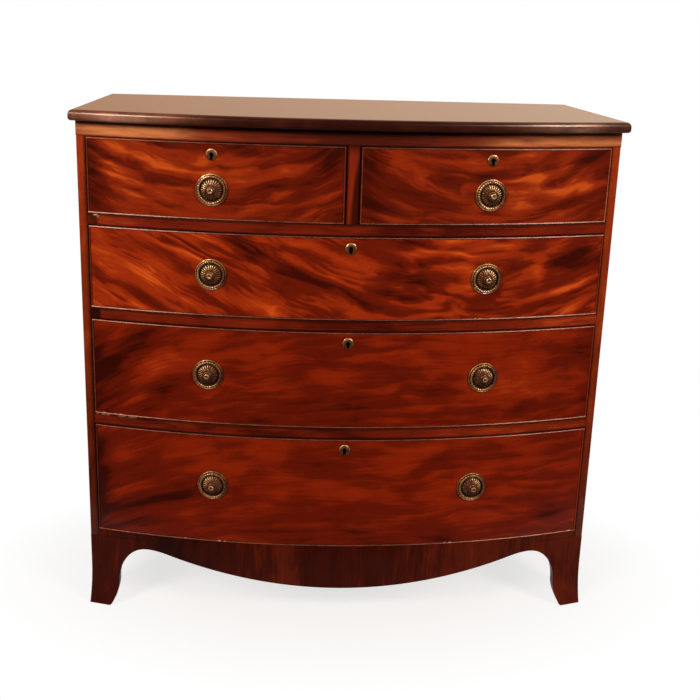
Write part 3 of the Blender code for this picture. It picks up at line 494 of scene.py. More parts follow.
def sawn_wood(name, early, late, aged, turn, rings, drift, streaks, seed, roughness, cross_from=None):
    """Bare sawn wood: growth bands and streaks between two colours, toned by fibres and by patches of age.

    The grain runs along X of the object's coordinates after the turn, and where Y is beyond cross_from
    it runs along X without the turn.
    """
    material, tree, shader = new_material(name)
    place = own_place(tree)
    vector = add(tree, "ShaderNodeMapping", {"Vector": place, "Rotation": turn}).outputs[0]
    if cross_from is not None:
        beyond = math_node(tree, "GREATER_THAN", axes_of(tree, place)["Y"], cross_from)
        vector = mixed(tree, beyond, vector, place, "VECTOR")
    values = {"Vector": vector, "Seed": seed, "Rings": rings, "Drift": drift, "Streaks": streaks}
    wood = add(tree, "ShaderNodeGroup", values, node_tree=sawn_group).outputs
    colour = mixed(tree, wood["Tone"], (*early, 1.0), (*late, 1.0))
    colour = mixed(tree, map_range(tree, wood["Stain"], 0.40, 0.75, 0.0, 0.7), colour, (*aged, 1.0))
    dent = {"Height": wood["Fibre"], "Strength": 0.25, "Distance": 0.0004}
    connect(tree, shader, {
        "Base Color": mixed(tree, 0.5, colour, wood["Fibre"], blend="OVERLAY"),
        "Roughness": map_range(tree, wood["Fibre"], 0.0, 1.0, roughness - 0.1, roughness + 0.1),
        "Normal": add(tree, "ShaderNodeBump", dent).outputs[0],
        "Specular IOR Level": 0.25,
    })
    return material


back_pine = sawn_wood(
    "back_pine", (0.33, 0.185, 0.090), (0.22, 0.105, 0.045), (0.16, 0.082, 0.042),
    turn=UPRIGHT, rings=34.0, drift=8.0, streaks=0.45, seed=1.0, roughness=0.72,
)
back_low, back_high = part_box("back_panel")
board_width = (back_high.x - back_low.x) / BACK_BOARDS
joint = BACK_JOINT / 2
board_x = np.array([0.0, joint, joint, board_width - joint, board_width - joint])
board_in = np.array([BACK_JOINT_DEPTH, BACK_JOINT_DEPTH, 0.0, 0.0, BACK_JOINT_DEPTH])
starts = back_low.x + board_width * np.arange(BACK_BOARDS)
face_x = (starts[:, None] + board_x).ravel()
face_in = np.tile(board_in, BACK_BOARDS)
face_in[[0, 1, -1]] = 0.0
ring_x = np.concatenate([face_x, [back_high.x, back_high.x, back_low.x]])
ring_y = np.concatenate([back_high.y - face_in, [back_high.y, back_low.y, back_low.y]])
rings = grid(ring_x, ring_y, np.array([[back_low.z], [back_high.z]]))
fit(surface("back_boards", rings, "bar"), back_pine, "pine", "case", "back_panel")

# Inner boards
# Pine dust boards carry the drawers, a pine partition parts the short ones, and a pine bottom
# closes the case. They are housed in the sides, and their CAD solids show when a drawer is open.
inner_pine = sawn_wood(
    "inner_pine", (0.42, 0.25, 0.12), (0.27, 0.135, 0.056), (0.20, 0.105, 0.052),
    turn=(0.0, 0.0, 0.0), rings=30.0, drift=6.0, streaks=0.45, seed=4.0, roughness=0.70,
)


def dress(name, material):
    """Give a CAD solid that stays in view its material."""
    materials = frame["nodes"][name].data.materials
    materials.clear()
    materials.append(material)


for name in ("dust_board_1", "dust_board_2", "dust_board_3", "bottom_board", "partition"):
    dress(name, inner_pine)

# Apron
# A bowed board glued under the front of the case, sawn to a long ogee, and faced with dark
# mahogany veneer laid upright. Its ends lie over the front feet.
APRON_STEPS = 96
APRON_TURN = 0.895
APRON_ARRIS = 0.0012
APRON_THICKNESS = 0.022
APRON_STEP = 1e-6
FOOT_LAP = 0.0002
FRONT_UPRIGHT = (math.pi / 2, 0.0, math.pi / 2)

# How much lighter or darker the veneer is along the apron: place in x and change
APRON_SHADE = [
    (-0.50, 0.05), (-0.40, -0.10), (-0.35, -0.26), (-0.28, -0.18), (-0.22, 0.0), (-0.17, 0.09),
    (-0.095, 0.13), (-0.07, -0.04), (-0.02, -0.06), (0.02, 0.0), (0.12, 0.08), (0.28, 0.20),
    (0.36, 0.12), (0.50, 0.14),
]
dark_mahogany = mahogany(
    "dark_mahogany",
    [(0.18, (0.013, 0.0018, 0.0009)), (0.5, (0.034, 0.0036, 0.0013)), (0.72, (0.074, 0.0078, 0.0022)),
     (0.95, (0.14, 0.016, 0.004))],
    turn=FRONT_UPRIGHT, seed=7.0, broad=0.4, bands=0.1, streaks=0.6, fibre=0.40, warp=0.5,
    shaded=True, coat=0.02, coat_roughness=0.15, specular=0.02,
)
apron_low, apron_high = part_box("apron_front")
arch_x = case_half - (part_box("foot_front_right")[1].y - corner_y)
arch_z = side_low.z


def apron_edge(x):
    """Height of the apron's lower edge: two parabolas, one sagging and one arched, that meet smoothly."""
    way = np.minimum(np.abs(x) / arch_x, 1.0)
    sag = way ** 2 / APRON_TURN
    arch = 1 - (1 - way) ** 2 / (1 - APRON_TURN)
    return apron_low.z + (arch_z - apron_low.z) * np.where(way < APRON_TURN, sag, arch)


def shade_along(x, table):
    """How much lighter the wood is at x, straight between the places of a table."""
    return np.interp(x, *np.array(table).T)


step = np.array([arch_x, arch_x + APRON_STEP])
middle_x = np.linspace(-arch_x, arch_x, APRON_STEPS + 1)[1:-1]
apron_x = np.concatenate([[apron_low.x], -step[::-1], middle_x, step, [apron_high.x]])
on_foot = np.abs(apron_x) > arch_x + APRON_STEP / 2
edge = np.where(on_foot, foot_top - FOOT_LAP, apron_edge(apron_x))[:, None]
draw, lift = quarter_round(APRON_ARRIS, BOARD_STEPS)
depth = np.concatenate([draw, [0.0, APRON_THICKNESS, APRON_THICKNESS]])
upper = np.full((len(apron_x), 2), apron_high.z)
heights = np.concatenate([edge + lift, upper, edge], axis=1)
points = grid(apron_x[:, None], bow_y(apron_x[:, None], depth), heights)
apron = surface("apron", points, "bar")
mark(apron, "shade", shade_along(points[..., 0], APRON_SHADE), -1.0)
fit(apron, dark_mahogany, "dark_mahogany", "case", "apron_front")

# Bracket feet
# Each foot is two wings mitred at the corner, sawn to a bracket and splayed outwards at the
# toe. The front wings follow the bow and carry the apron's dark veneer.
FOOT_LEVELS = 20
TOE_CROWDING = 1.3
FOOT_THICKNESS = 0.022
FOOT_TOE = 0.040
FOOT_ANKLE = 0.060
FOOT_ANKLE_HEIGHT = 0.058
FOOT_SPLAY = 0.006
FOOT_SPLAY_HEIGHT = 0.095
FOOT_WING_STEPS = 12
TOE_ROUND = 0.006
TOE_WEAR = 0.6
FOOT_SHADE = {-1: 0.0, 1: 0.17}


def foot_reach(z):
    """Length of a wing: a quarter sine from toe to ankle, then a quarter ellipse into the arch.

    The lowest few millimetres are drawn in by the rounding of the toe.
    """
    quarter = np.sin(math.pi / 2 * np.minimum(z / FOOT_ANKLE_HEIGHT, 1.0))
    below = FOOT_TOE + (FOOT_ANKLE - FOOT_TOE) * quarter
    full = case_half - arch_x
    above = full - (full - FOOT_ANKLE) * np.sqrt(1 - ramp(z, FOOT_ANKLE_HEIGHT, arch_z) ** 2)
    rounded = TOE_ROUND * (1 - np.sqrt(1 - ramp(z, TOE_ROUND, 0.0) ** 2))
    return np.where(z <= FOOT_ANKLE_HEIGHT, below, above) - TOE_WEAR * rounded


low_levels = FOOT_ANKLE_HEIGHT * np.linspace(0, 1, FOOT_LEVELS) ** TOE_CROWDING
quarter = np.sin(np.linspace(0, math.pi / 2, FOOT_LEVELS))
arch_levels = FOOT_ANKLE_HEIGHT + (arch_z - FOOT_ANKLE_HEIGHT) * quarter
foot_z = np.concatenate([low_levels, arch_levels[1:], [foot_top + FOOT_LAP]])[:, None]
reach = foot_reach(foot_z)
splay = FOOT_SPLAY * np.maximum(1 - foot_z / FOOT_SPLAY_HEIGHT, 0.0) ** 2
steps = np.linspace(0, 1, FOOT_WING_STEPS + 1)
outer = case_half + splay
inner = outer - FOOT_THICKNESS
tip = case_half - reach
wing_x = outer + (tip - outer) * steps
lining_x = tip + (inner - tip) * steps
section_x = np.concatenate([wing_x, lining_x, inner, outer], axis=1)
rear_wing = np.full_like(wing_x, case_back)
foot_sides = {
    "front": (bow_y(wing_x) - splay, bow_y(lining_x, FOOT_THICKNESS) - splay, corner_y + reach),
    "rear": (rear_wing, rear_wing - FOOT_THICKNESS, case_back - reach),
}
for side, hand in HANDS:
    for place, (wing_y, lining_y, end_y) in foot_sides.items():
        section_y = np.concatenate([wing_y, lining_y, end_y, end_y], axis=1)
        points = grid(hand * section_x, section_y, foot_z)
        name = "foot_" + place + "_" + side
        foot = surface("bracket_" + name, points, "bar")
        mark(foot, "shade", np.full(points.shape[:2], FOOT_SHADE[hand]), -1.0)
        fit(foot, dark_mahogany, "dark_mahogany", "case", name)

# Drawer rails, top rail and muntin
# Straight-grained mahogany, bowed on the front. A drawer rail has a pine core and the top rail a
# mahogany one, which are their CAD solids, and a thin facing with soft arrises is glued on each
# front. The muntin is one solid piece.
FACING_PROUD = 0.0002
FACING_THICKNESS = 0.0030
FACING_OVERLAP = 0.00015
FACING_ARRIS = 0.0005
FACING_LINES = 10
RAIL_STEPS = 288
MUNTIN_STEPS = 24
MUNTIN_LEVELS = 9
MUNTIN_FLAT = 0.45
MUNTIN_ARRIS = 0.0040
# Colour of the painted shade on the muntin's flanks and crown
MUNTIN_PAINTED_SHADE = (0.036, 0.0036, 0.0012)
MUNTIN_CROWN = 0.012
MUNTIN_CROWN_SHADE = 0.9
BARE_WOOD = (0.56, 0.33, 0.22)
# Pale colour of the painted sheen on the top rail
PAINTED_SHEEN_COLOUR = (0.60, 0.205, 0.072)
# Painted shade and dark blocks, then bare wood where the rails are worn
SHADE_AND_WEAR = (("painted_shade_and_block", SHADE_AND_BLOCK_COLOUR, 0.0), ("bare", BARE_WOOD, 0.0))
FRONT_LEVEL = (math.pi / 2, 0.0, 0.0)

# Painted shade along the edges of a rail, which reaches further from the upper edge than from the lower
EDGE_SHADE_MOST = 0.85
EDGE_SHADE_REACH = 0.0018
UPPER_REACH = 2.5

# Dark block at the left end of the first and second rail: its length, its soft end and how dark it is
BLOCK_LENGTH = 0.022
BLOCK_SOFT = 0.003
FIRST_BLOCK_DARK = 0.7
SECOND_BLOCK_DARK = 0.92

# Painted sheen on the top rail where the lamps catch it near its ends: middle in x, reach and squareness,
# the same up the rail, and the strength, which at the right is that of the whole part and that of a
# bright line in it
LEFT_SHEEN = (-0.425, 0.11, 4)
LEFT_SHEEN_UP = (0.42, 0.42, 4)
LEFT_SHEEN_MOST = 0.80
RIGHT_SHEEN = (0.415, 0.15, 4)
RIGHT_SHEEN_UP = (0.27, 0.16)
RIGHT_SHEEN_MOST = (0.34, 0.44)
SHEEN_RIM = 0.003

# Ends of the top rail with less painted shade: where they start and are full, and the share that is gone
LESS_SHADE_ENDS = (0.20, 0.35)
LESS_SHADE_SHARE = 0.7

# Chip in the first rail and chafed end of the third: places and lengths in metres, and for the
# chafing also its depths below the upper edge, its strength and the level at which it breaks up
CHIP_FROM_END = 0.016
CHIP_BELOW = 0.0030
CHIP_SLANT = 0.30
CHIP_REACH = (0.0075, 0.0015)
CHAFE_END = (-0.41, -0.43)
CHAFE_DEPTHS = (0.003, 0.001)
CHAFE_MOST = 0.5
CHAFE_BREAK = 0.56

# Painted shade on the rounded flanks of the muntin: where it starts and is full, as shares of its half
# width. The right one draws back towards the top.
RIGHT_FLANK = (-0.45, 0.05)
LEFT_FLANK = (-0.55, -0.85)
FLANK_DRAW = 1.2

# How much lighter or darker the wood of each rail is along its length: place in x and change
RAIL_SHADES = {
    "rail_1": [(-0.48, 0.10), (-0.43, 0.10), (-0.36, -0.16), (-0.31, -0.18), (-0.22, 0.04), (-0.12, -0.14),
               (0.0, -0.13), (0.10, -0.26), (0.19, -0.32), (0.30, -0.20), (0.40, -0.05), (0.50, -0.06)],
    "rail_2": [(-0.48, -0.14), (-0.43, 0.0), (-0.27, -0.12), (-0.20, 0.08), (-0.12, -0.26), (0.04, -0.28),
               (0.16, -0.14), (0.27, 0.0), (0.36, 0.06), (0.44, 0.22)],
    "rail_3": [(-0.45, -0.20), (-0.34, -0.10), (-0.20, -0.24), (-0.04, -0.26), (0.08, -0.12), (0.22, 0.08),
               (0.30, 0.08), (0.45, 0.02)],
    "top_rail": [(-0.35, 0.0), (-0.22, 0.16), (-0.17, -0.05), (-0.10, -0.26), (-0.02, -0.38), (0.08, -0.30),
                 (0.18, -0.14), (0.30, 0.0)],
}
rail_mahogany = mahogany(
    "rail_mahogany",
    [(0.12, (0.055, 0.0046, 0.0016)), (0.5, (0.150, 0.0132, 0.0034)), (0.88, (0.33, 0.040, 0.0085))],
    turn=FRONT_LEVEL, seed=11.0, broad=0.3, streaks=0.7, fibre=0.6, warp=0.4,
    roughness=(0.38, 0.50), specular=0.05, coat=0.05, shaded=True, worn=SHADE_AND_WEAR,
)
top_rail_mahogany = mahogany(
    "top_rail_mahogany",
    [(0.12, (0.055, 0.0060, 0.002)), (0.5, (0.125, 0.0140, 0.004)), (0.88, (0.25, 0.036, 0.009))],
    turn=FRONT_LEVEL, seed=13.0, broad=0.3, streaks=0.7, fibre=0.8, warp=0.4,
    roughness=(0.40, 0.48), specular=0.12, coat=0.08, shaded=True, worn=(("painted_sheen", PAINTED_SHEEN_COLOUR, 0.9), *SHADE_AND_WEAR),
)
muntin_mahogany = mahogany(
    "muntin_mahogany",
    [(0.15, (0.09, 0.0068, 0.002)), (0.5, (0.175, 0.0155, 0.004)), (0.85, (0.27, 0.030, 0.007))],
    turn=FRONT_UPRIGHT, seed=3.0, broad=0.3, fibre=0.45, worn=(("painted_shade_and_block", MUNTIN_PAINTED_SHADE, 0.0),),
)


def ripple(x, seed):
    """Uneven wave from 0 to 1: four sines whose lengths have no common measure."""
    lengths = np.array([0.011, 0.027, 0.0617, 0.151])
    shifts = np.array([1.3, 2.1, 4.7, 0.4]) * (1 + seed)
    waves = np.sin(2 * math.pi * np.asarray(x)[..., None] / lengths + shifts)
    return 0.5 + 0.25 * (waves * np.array([0.5, 0.6, 0.5, 0.4])).sum(axis=-1)


def spot(x, z, middle, reach):
    """Soft oval patch: 1 in its middle, falling to 0 at its reach in x and z."""
    away = ((x - middle[0]) / reach[0]) ** 2 + ((z - middle[1]) / reach[1]) ** 2
    return np.clip(1.6 * (1 - away), 0, 1)


def bowed_bar(x, low, high, front, back, arris):
    """Bar along the bow: a section with two rounded front corners, carried along x on the arc."""
    draw, rise = quarter_round(arris, BOARD_STEPS)
    between = np.linspace(low + arris, high - arris, FACING_LINES)[1:-1]
    depth = np.concatenate([[back], front + draw, np.full_like(between, front), (front + draw)[::-1], [back]])
    height = np.concatenate([[low], low + rise, between, (high - rise)[::-1], [high]])
    return grid(x[:, None], bow_y(x[:, None], depth), height)


for number, name in enumerate(("rail_1", "rail_2", "rail_3", "top_rail")):
    is_top = name == "top_rail"
    dress(name, top_rail_mahogany if is_top else inner_pine)
    low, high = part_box(name)
    half = case_half + FACING_PROUD if is_top else case_inner
    x = np.linspace(-half, half, RAIL_STEPS + 1)
    top_z = case_top if is_top else high.z + FACING_OVERLAP
    points = bowed_bar(x, low.z - FACING_OVERLAP, top_z, -FACING_PROUD, FACING_THICKNESS, FACING_ARRIS)
    facing = surface(name + "_facing", points, "bar")
    point_x, point_z = points[..., 0], points[..., 2]
    # Painted shade along the facing's edges, reaching further down from its upper edge
    edge = np.minimum(point_z - low.z, (high.z - point_z) / UPPER_REACH)
    painted_shade_and_block = EDGE_SHADE_MOST * bump(np.maximum(edge, 0.0), 0.0, EDGE_SHADE_REACH)
    bare = np.zeros_like(painted_shade_and_block)
    # Dark block at the left end of the first and second rail
    block_end = -case_inner + BLOCK_LENGTH
    block = ramp(point_x, block_end, block_end - BLOCK_SOFT)
    if is_top:
        # Painted sheen near both ends of the top rail, patchy along the grain and kept off its edges
        up = ramp(point_z, low.z, high.z)
        left_lit = LEFT_SHEEN_MOST * bump(point_x, *LEFT_SHEEN) * bump(up, *LEFT_SHEEN_UP)
        whole, line = RIGHT_SHEEN_MOST
        right_lit = bump(point_x, *RIGHT_SHEEN) * (whole + line * bump(up, *RIGHT_SHEEN_UP))
        patchy = 0.70 + 0.6 * ripple(0.25 * point_x + 1.6 * point_z, 2)
        mark(facing, "painted_sheen", (left_lit + right_lit) * patchy * ramp(edge, 0.0, SHEEN_RIM))
        # Less painted shade towards the ends of the top rail
        painted_shade_and_block = painted_shade_and_block * (1 - LESS_SHADE_SHARE * ramp(np.abs(point_x), *LESS_SHADE_ENDS))
    if name == "rail_1":
        chip_x = -case_inner + CHIP_FROM_END
        slant = point_z + CHIP_SLANT * (point_x - chip_x)
        bare = spot(point_x, slant, (chip_x, high.z - CHIP_BELOW), CHIP_REACH)
        patchy = 0.6 + 0.8 * ripple(point_z + point_x, 1)
        painted_shade_and_block = np.maximum(painted_shade_and_block, FIRST_BLOCK_DARK * block * patchy)
    if name == "rail_2":
        painted_shade_and_block = np.maximum(painted_shade_and_block, SECOND_BLOCK_DARK * block)
    if name == "rail_3":
        faint, full = CHAFE_DEPTHS
        chafe = ramp(point_z, high.z - faint, high.z - full) * ramp(point_x, *CHAFE_END)
        bare = CHAFE_MOST * chafe * (ripple(point_x, number) > CHAFE_BREAK)
    mark(facing, "shade", shade_along(point_x, RAIL_SHADES[name]), -1.0)
    mark(facing, "painted_shade_and_block", painted_shade_and_block)
    mark(facing, "bare", bare)
    fit(facing, top_rail_mahogany if is_top else rail_mahogany, "mahogany", "case")

low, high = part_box("muntin")
x = np.linspace(low.x, high.x, MUNTIN_STEPS + 1)[:, None]
flank = ramp(np.abs(x) / high.x, MUNTIN_FLAT, 1.0)
section_z = np.linspace(low.z, high.z, MUNTIN_LEVELS)
front_y = np.repeat(bow_y(x) + MUNTIN_ARRIS * flank ** 2, MUNTIN_LEVELS, axis=1)
section_y = np.concatenate([front_y, np.full((len(x), 2), high.y)], axis=1)
heights = np.concatenate([section_z, section_z[[-1, 0]]])
points = grid(x, section_y, heights)
post = surface("muntin_post", points, "bar")
across = points[..., 0] / high.x
rise = (points[..., 2] - low.z) / (high.z - low.z)
# Painted shade on the muntin's flanks, and across its top under the top rail
right_shade = ramp(across - FLANK_DRAW * rise ** 2, *RIGHT_FLANK)
left_shade = ramp(across, *LEFT_FLANK)
crown = MUNTIN_CROWN_SHADE * ramp(points[..., 2], high.z - MUNTIN_CROWN, high.z) ** 2
mark(post, "painted_shade_and_block", np.maximum(np.maximum(left_shade, right_shade), crown))
fit(post, muntin_mahogany, "mahogany", "case", "muntin")

# Top
# One wide mahogany board, rounded along the front and the ends, that overhangs the case. It
# was french polished to a high gloss, and near the ends of its front edge it carries a painted reflection
# and painted glare.
TOP_FRONT_STEPS = 96
TOP_SIDE_STEPS = 24
TOP_UPPER_ROUND = 0.009
TOP_LOWER_ROUND = 0.006
TOP_ROUND_STEPS = 8
TOP_FLAT_INSET = 0.004
TOP_EDGE_SHADE = -0.24
# Colours of the painted reflection and the painted glare at the ends of the top's front edge
EDGE_REFLECTION_COLOUR = (0.30, 0.100, 0.052)
GLARE_COLOUR = (0.74, 0.42, 0.31)

# Ends of the front edge with a painted reflection, painted glare and a gleaming polish: middle in x,
# reach and, where it is given, squareness. Those named up give the same over the rounded edge.
LEFT_REFLECTION = (-0.43, 0.14, 4)
RIGHT_REFLECTION = (0.42, 0.12)
LEFT_GLARE = (-0.438, 0.055)
LEFT_GLARE_UP = (0.18, 0.30)
RIGHT_GLARE = (0.415, 0.065)
RIGHT_GLARE_UP = (0.42, 0.15)
LEFT_GLEAM = (-0.43, 0.12, 4)
RIGHT_GLEAM = (0.415, 0.075)
GLEAM_UP = (0.38, 0.17)

# Strengths: the painted reflection in all and at the right, painted glare at the left, painted glare at
# the right on the face and on the arris, and the gleaming polish all along, at the left and at the right
REFLECTION_MOST = 0.70
RIGHT_REFLECTION_SHARE = 0.45
LEFT_GLARE_MOST = 0.50
RIGHT_GLARE_MOST = (0.22, 0.95)
GLEAM_MOST = (0.14, 0.62, 0.95)
REFLECTION_FROM_UNDER = 0.008
REFLECTION_BEFORE_Y = 0.1
EDGE_POLISH = 0.03
top_mahogany = mahogany(
    "top_mahogany",
    [(0.15, (0.022, 0.0035, 0.0018)), (0.5, (0.050, 0.0085, 0.0035)), (0.85, (0.095, 0.019, 0.008))],
    seed=17.0, broad=0.5, roughness=(0.36, 0.46), coat="polish", coat_roughness=0.20, specular=0.10,
    shaded=True, worn=(("painted_sheen", EDGE_REFLECTION_COLOUR, 0.8), ("painted_glare", GLARE_COLOUR, 0.6)),
)
top_low, top_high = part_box("top")
top_overhang = bow_y(0.0) - top_low.y


def top_outline(inset, z):
    """Plan of the top drawn in by inset: the bow along the front, then right end, back and left end."""
    half = top_high.x - inset
    front_x = np.linspace(-half, half, TOP_FRONT_STEPS + 1)
    front_y = bow_y(front_x, inset - top_overhang)
    end_y = np.linspace(front_y[-1], top_high.y, TOP_SIDE_STEPS + 1)[1:]
    back_x = np.linspace(half, -half, TOP_SIDE_STEPS + 1)[1:]
    x = np.concatenate([front_x, np.full_like(end_y, half), back_x, np.full_like(end_y[1:], -half)])
    y = np.concatenate([front_y, end_y, np.full_like(back_x, top_high.y), end_y[:-1][::-1]])
    return grid(x, y, z)


lower_inset, lower_rise = quarter_round(TOP_LOWER_ROUND, TOP_ROUND_STEPS)
upper_fall, upper_inset = quarter_round(TOP_UPPER_ROUND, TOP_ROUND_STEPS)
levels = [
    (TOP_LOWER_ROUND + TOP_FLAT_INSET, top_low.z),
    *zip(lower_inset, top_low.z + lower_rise),
    *zip(upper_inset, top_high.z - upper_fall),
    (TOP_UPPER_ROUND + TOP_FLAT_INSET, top_high.z),
]
points = np.stack([top_outline(inset, z) for inset, z in levels])
board = surface("top_board", points, "bar")
point_x, point_y, point_z = np.moveaxis(points, -1, 0)
rise = ramp(point_z, top_high.z - TOP_UPPER_ROUND, top_high.z)
# Painted reflection on the front edge near both ends, fading out at its underside and its top
edge = ramp(point_z, top_low.z, top_low.z + REFLECTION_FROM_UNDER) * (1 - rise ** 4) * (point_y < REFLECTION_BEFORE_Y)
ends = bump(point_x, *LEFT_REFLECTION) + RIGHT_REFLECTION_SHARE * bump(point_x, *RIGHT_REFLECTION)
mark(board, "painted_sheen", REFLECTION_MOST * edge * ends * (0.5 + ripple(point_x, 4)))
# Painted glare on the front edge near both ends, on its face and up over the arris
left_glare = LEFT_GLARE_MOST * bump(point_x, *LEFT_GLARE) * bump(rise, *LEFT_GLARE_UP)
face, arris = RIGHT_GLARE_MOST
right_glare = bump(point_x, *RIGHT_GLARE) * (face * (1 - rise) + arris * bump(rise, *RIGHT_GLARE_UP))
patchy = 0.35 + 0.9 * ripple(0.3 * point_x + 2.0 * point_z, 3)
mark(board, "painted_glare", (left_glare + right_glare) * (point_y < 0.0) * patchy)
mark(board, "shade", TOP_EDGE_SHADE * (1 - rise ** 4), -1.0)
along, left_gleam, right_gleam = GLEAM_MOST
gleam = along + left_gleam * bump(point_x, *LEFT_GLEAM) + right_gleam * bump(point_x, *RIGHT_GLEAM)
mark(board, "polish", EDGE_POLISH + (1 - EDGE_POLISH) * rise ** 3 + gleam * bump(rise, *GLEAM_UP))
fit(board, top_mahogany, "polished_mahogany", "case", "top")

# Drawer boxes and fronts
# Oak sides, back and bottom, lap dovetailed to a thick sawn front of plain mahogany. Their CAD
# solids show the dovetails, and the figured veneer and the cockbeads go on afterwards.
DRAWERS = ("short_left", "short_right", "upper", "middle", "lower")
CROSS_MARGIN = 0.0005
KEY_SHADE_REACH = 0.013
CORE_STOPS = [(0.15, (0.10, 0.030, 0.012)), (0.5, (0.20, 0.070, 0.028)), (0.85, (0.30, 0.12, 0.05))]
box_corners = node_points("drawer_box_upper")
box_back_face = box_corners[box_corners[:, 1] > 0.0, 1].min()
box_oak = sawn_wood(
    "box_oak", (0.38, 0.235, 0.115), (0.29, 0.168, 0.076), (0.22, 0.125, 0.062),
    turn=(0.0, 0.0, math.pi / 2), rings=60.0, drift=5.0, streaks=0.80, seed=9.0, roughness=0.62,
    cross_from=box_back_face - CROSS_MARGIN,
)


def key_place(name):
    """X and z of a drawer's keyhole: the middle of its escutcheon."""
    low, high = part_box("escutcheon_" + name)
    return (low.x + high.x) / 2, (low.z + high.z) / 2


for name in DRAWERS:
    key_x, key_z = key_place(name)
    # Round the keyhole the front is painted black, as shade seen through the hole
    key_hollow = ((key_x, float(bow_y(key_x)), key_z), KEY_SHADE_REACH)
    core_mahogany = mahogany("core_mahogany_" + name, CORE_STOPS, seed=21.0, broad=0.4, fibre=0.5,
                             roughness=(0.5, 0.65), coat=0.0, hollow=key_hollow)
    dress("drawer_box_" + name, box_oak)
    dress("drawer_front_" + name, core_mahogany)

# Flame veneer
# A leaf of figured mahogany on the face of each drawer front, chosen for its flame and polished.
# Each leaf has its own run of grain, with a hole under the escutcheon for the key.
VENEER_PROUD = 0.0003
VENEER_THICKNESS = 0.0009
VENEER_PITCH = 0.006
BEAD_WIDTH = 0.0032
KEY_HOLE_HALF = 0.0046
KEY_HOLE_REACH = 0.0104


def drawer_limits(name):
    """Left, right, low and high of a drawer front, as its CAD solid has them."""
    low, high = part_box("drawer_front_" + name)
    return low.x, high.x, low.z, high.z


def stations(start, end, marks, pitch):
    """Evenly spaced values from start to end, with the marks put in among them."""
    even = np.linspace(start, end, max(2, round((end - start) / pitch)) + 1)
    far = np.abs(even[:, None] - np.array(marks)).min(axis=1) > pitch / 3
    far[[0, -1]] = True
    return np.sort(np.concatenate([even[far], marks]))


def sharpen_rim(mesh):
    """Mark the open edges of a sheet as sharp, so that the shading does not bend at its rim."""
    used = np.empty(len(mesh.loops), dtype=np.int32)
    mesh.loops.foreach_get("edge_index", used)
    mesh.edges.foreach_set("use_edge_sharp", np.bincount(used, minlength=len(mesh.edges)) == 1)


def flow_short(x, z, hand):
    """Across-grain place on a short drawer: streaks that sag in the middle like a hammock."""
    from_lock = hand * x - 0.264
    return z - 0.90 * from_lock ** 2


def flow_upper(x, z):
    """Across-grain place on the upper drawer: streaks that fall to the right, then level and rise."""
    levelling = np.maximum(x + 0.12, 0.0) ** 1.5 + np.maximum(x - 0.05, 0.0) ** 2
    return z + 0.52 * (x + 0.5) - 0.45 * levelling


def flow_low(x, z, steep):
    """Across-grain place on a lower drawer: streaks that climb from the left end and level out."""
    return z + steep * 0.13 * np.exp(-(x + 0.5) / 0.17) - 0.06 * np.maximum(x, 0.0) ** 2


FLOWS = {
    "short_left": lambda x, z: flow_short(x, z, -1),
    "short_right": lambda x, z: flow_short(x, z, 1),
    "upper": flow_upper,
    "middle": lambda x, z: flow_low(x, z, 1.0),
    "lower": lambda x, z: flow_low(x, z, 0.9),
}
FLAME_STOPS = {
    "bright": [(0.12, (0.040, 0.0030, 0.0010)), (0.40, (0.120, 0.0085, 0.0018)),
               (0.62, (0.28, 0.0240, 0.0034)), (0.90, (0.52, 0.0760, 0.0085))],
    "middling": [(0.12, (0.036, 0.0030, 0.0010)), (0.40, (0.100, 0.0075, 0.0017)),
                 (0.64, (0.22, 0.0190, 0.0030)), (0.92, (0.46, 0.0680, 0.0080))],
    "deep": [(0.12, (0.030, 0.0026, 0.0010)), (0.40, (0.105, 0.0072, 0.0015)),
             (0.64, (0.205, 0.0145, 0.0023)), (0.94, (0.36, 0.0400, 0.0050))],
}

# Colours of each leaf, then the values of its figure and polish in the order of their names
LEAF_VALUES = ("seed", "broad", "bands", "pitch", "streaks", "fibre", "warp", "coat")
LEAVES = {
    "short_left": ("middling", 31.0, 0.8, 0.32, 26.0, 0.80, 0.20, 1.0, 0.25),
    "short_right": ("middling", 37.0, 0.8, 0.33, 26.0, 0.85, 0.22, 1.0, 0.25),
    "upper": ("bright", 43.0, 0.8, 0.37, 28.0, 0.95, 0.20, 1.0, 0.25),
    "middle": ("deep", 53.0, 0.9, 0.18, 40.0, 0.72, 0.24, 0.6, 0.05),
    "lower": ("deep", 61.0, 0.9, 0.13, 40.0, 0.50, 0.24, 0.6, 0.05),
}

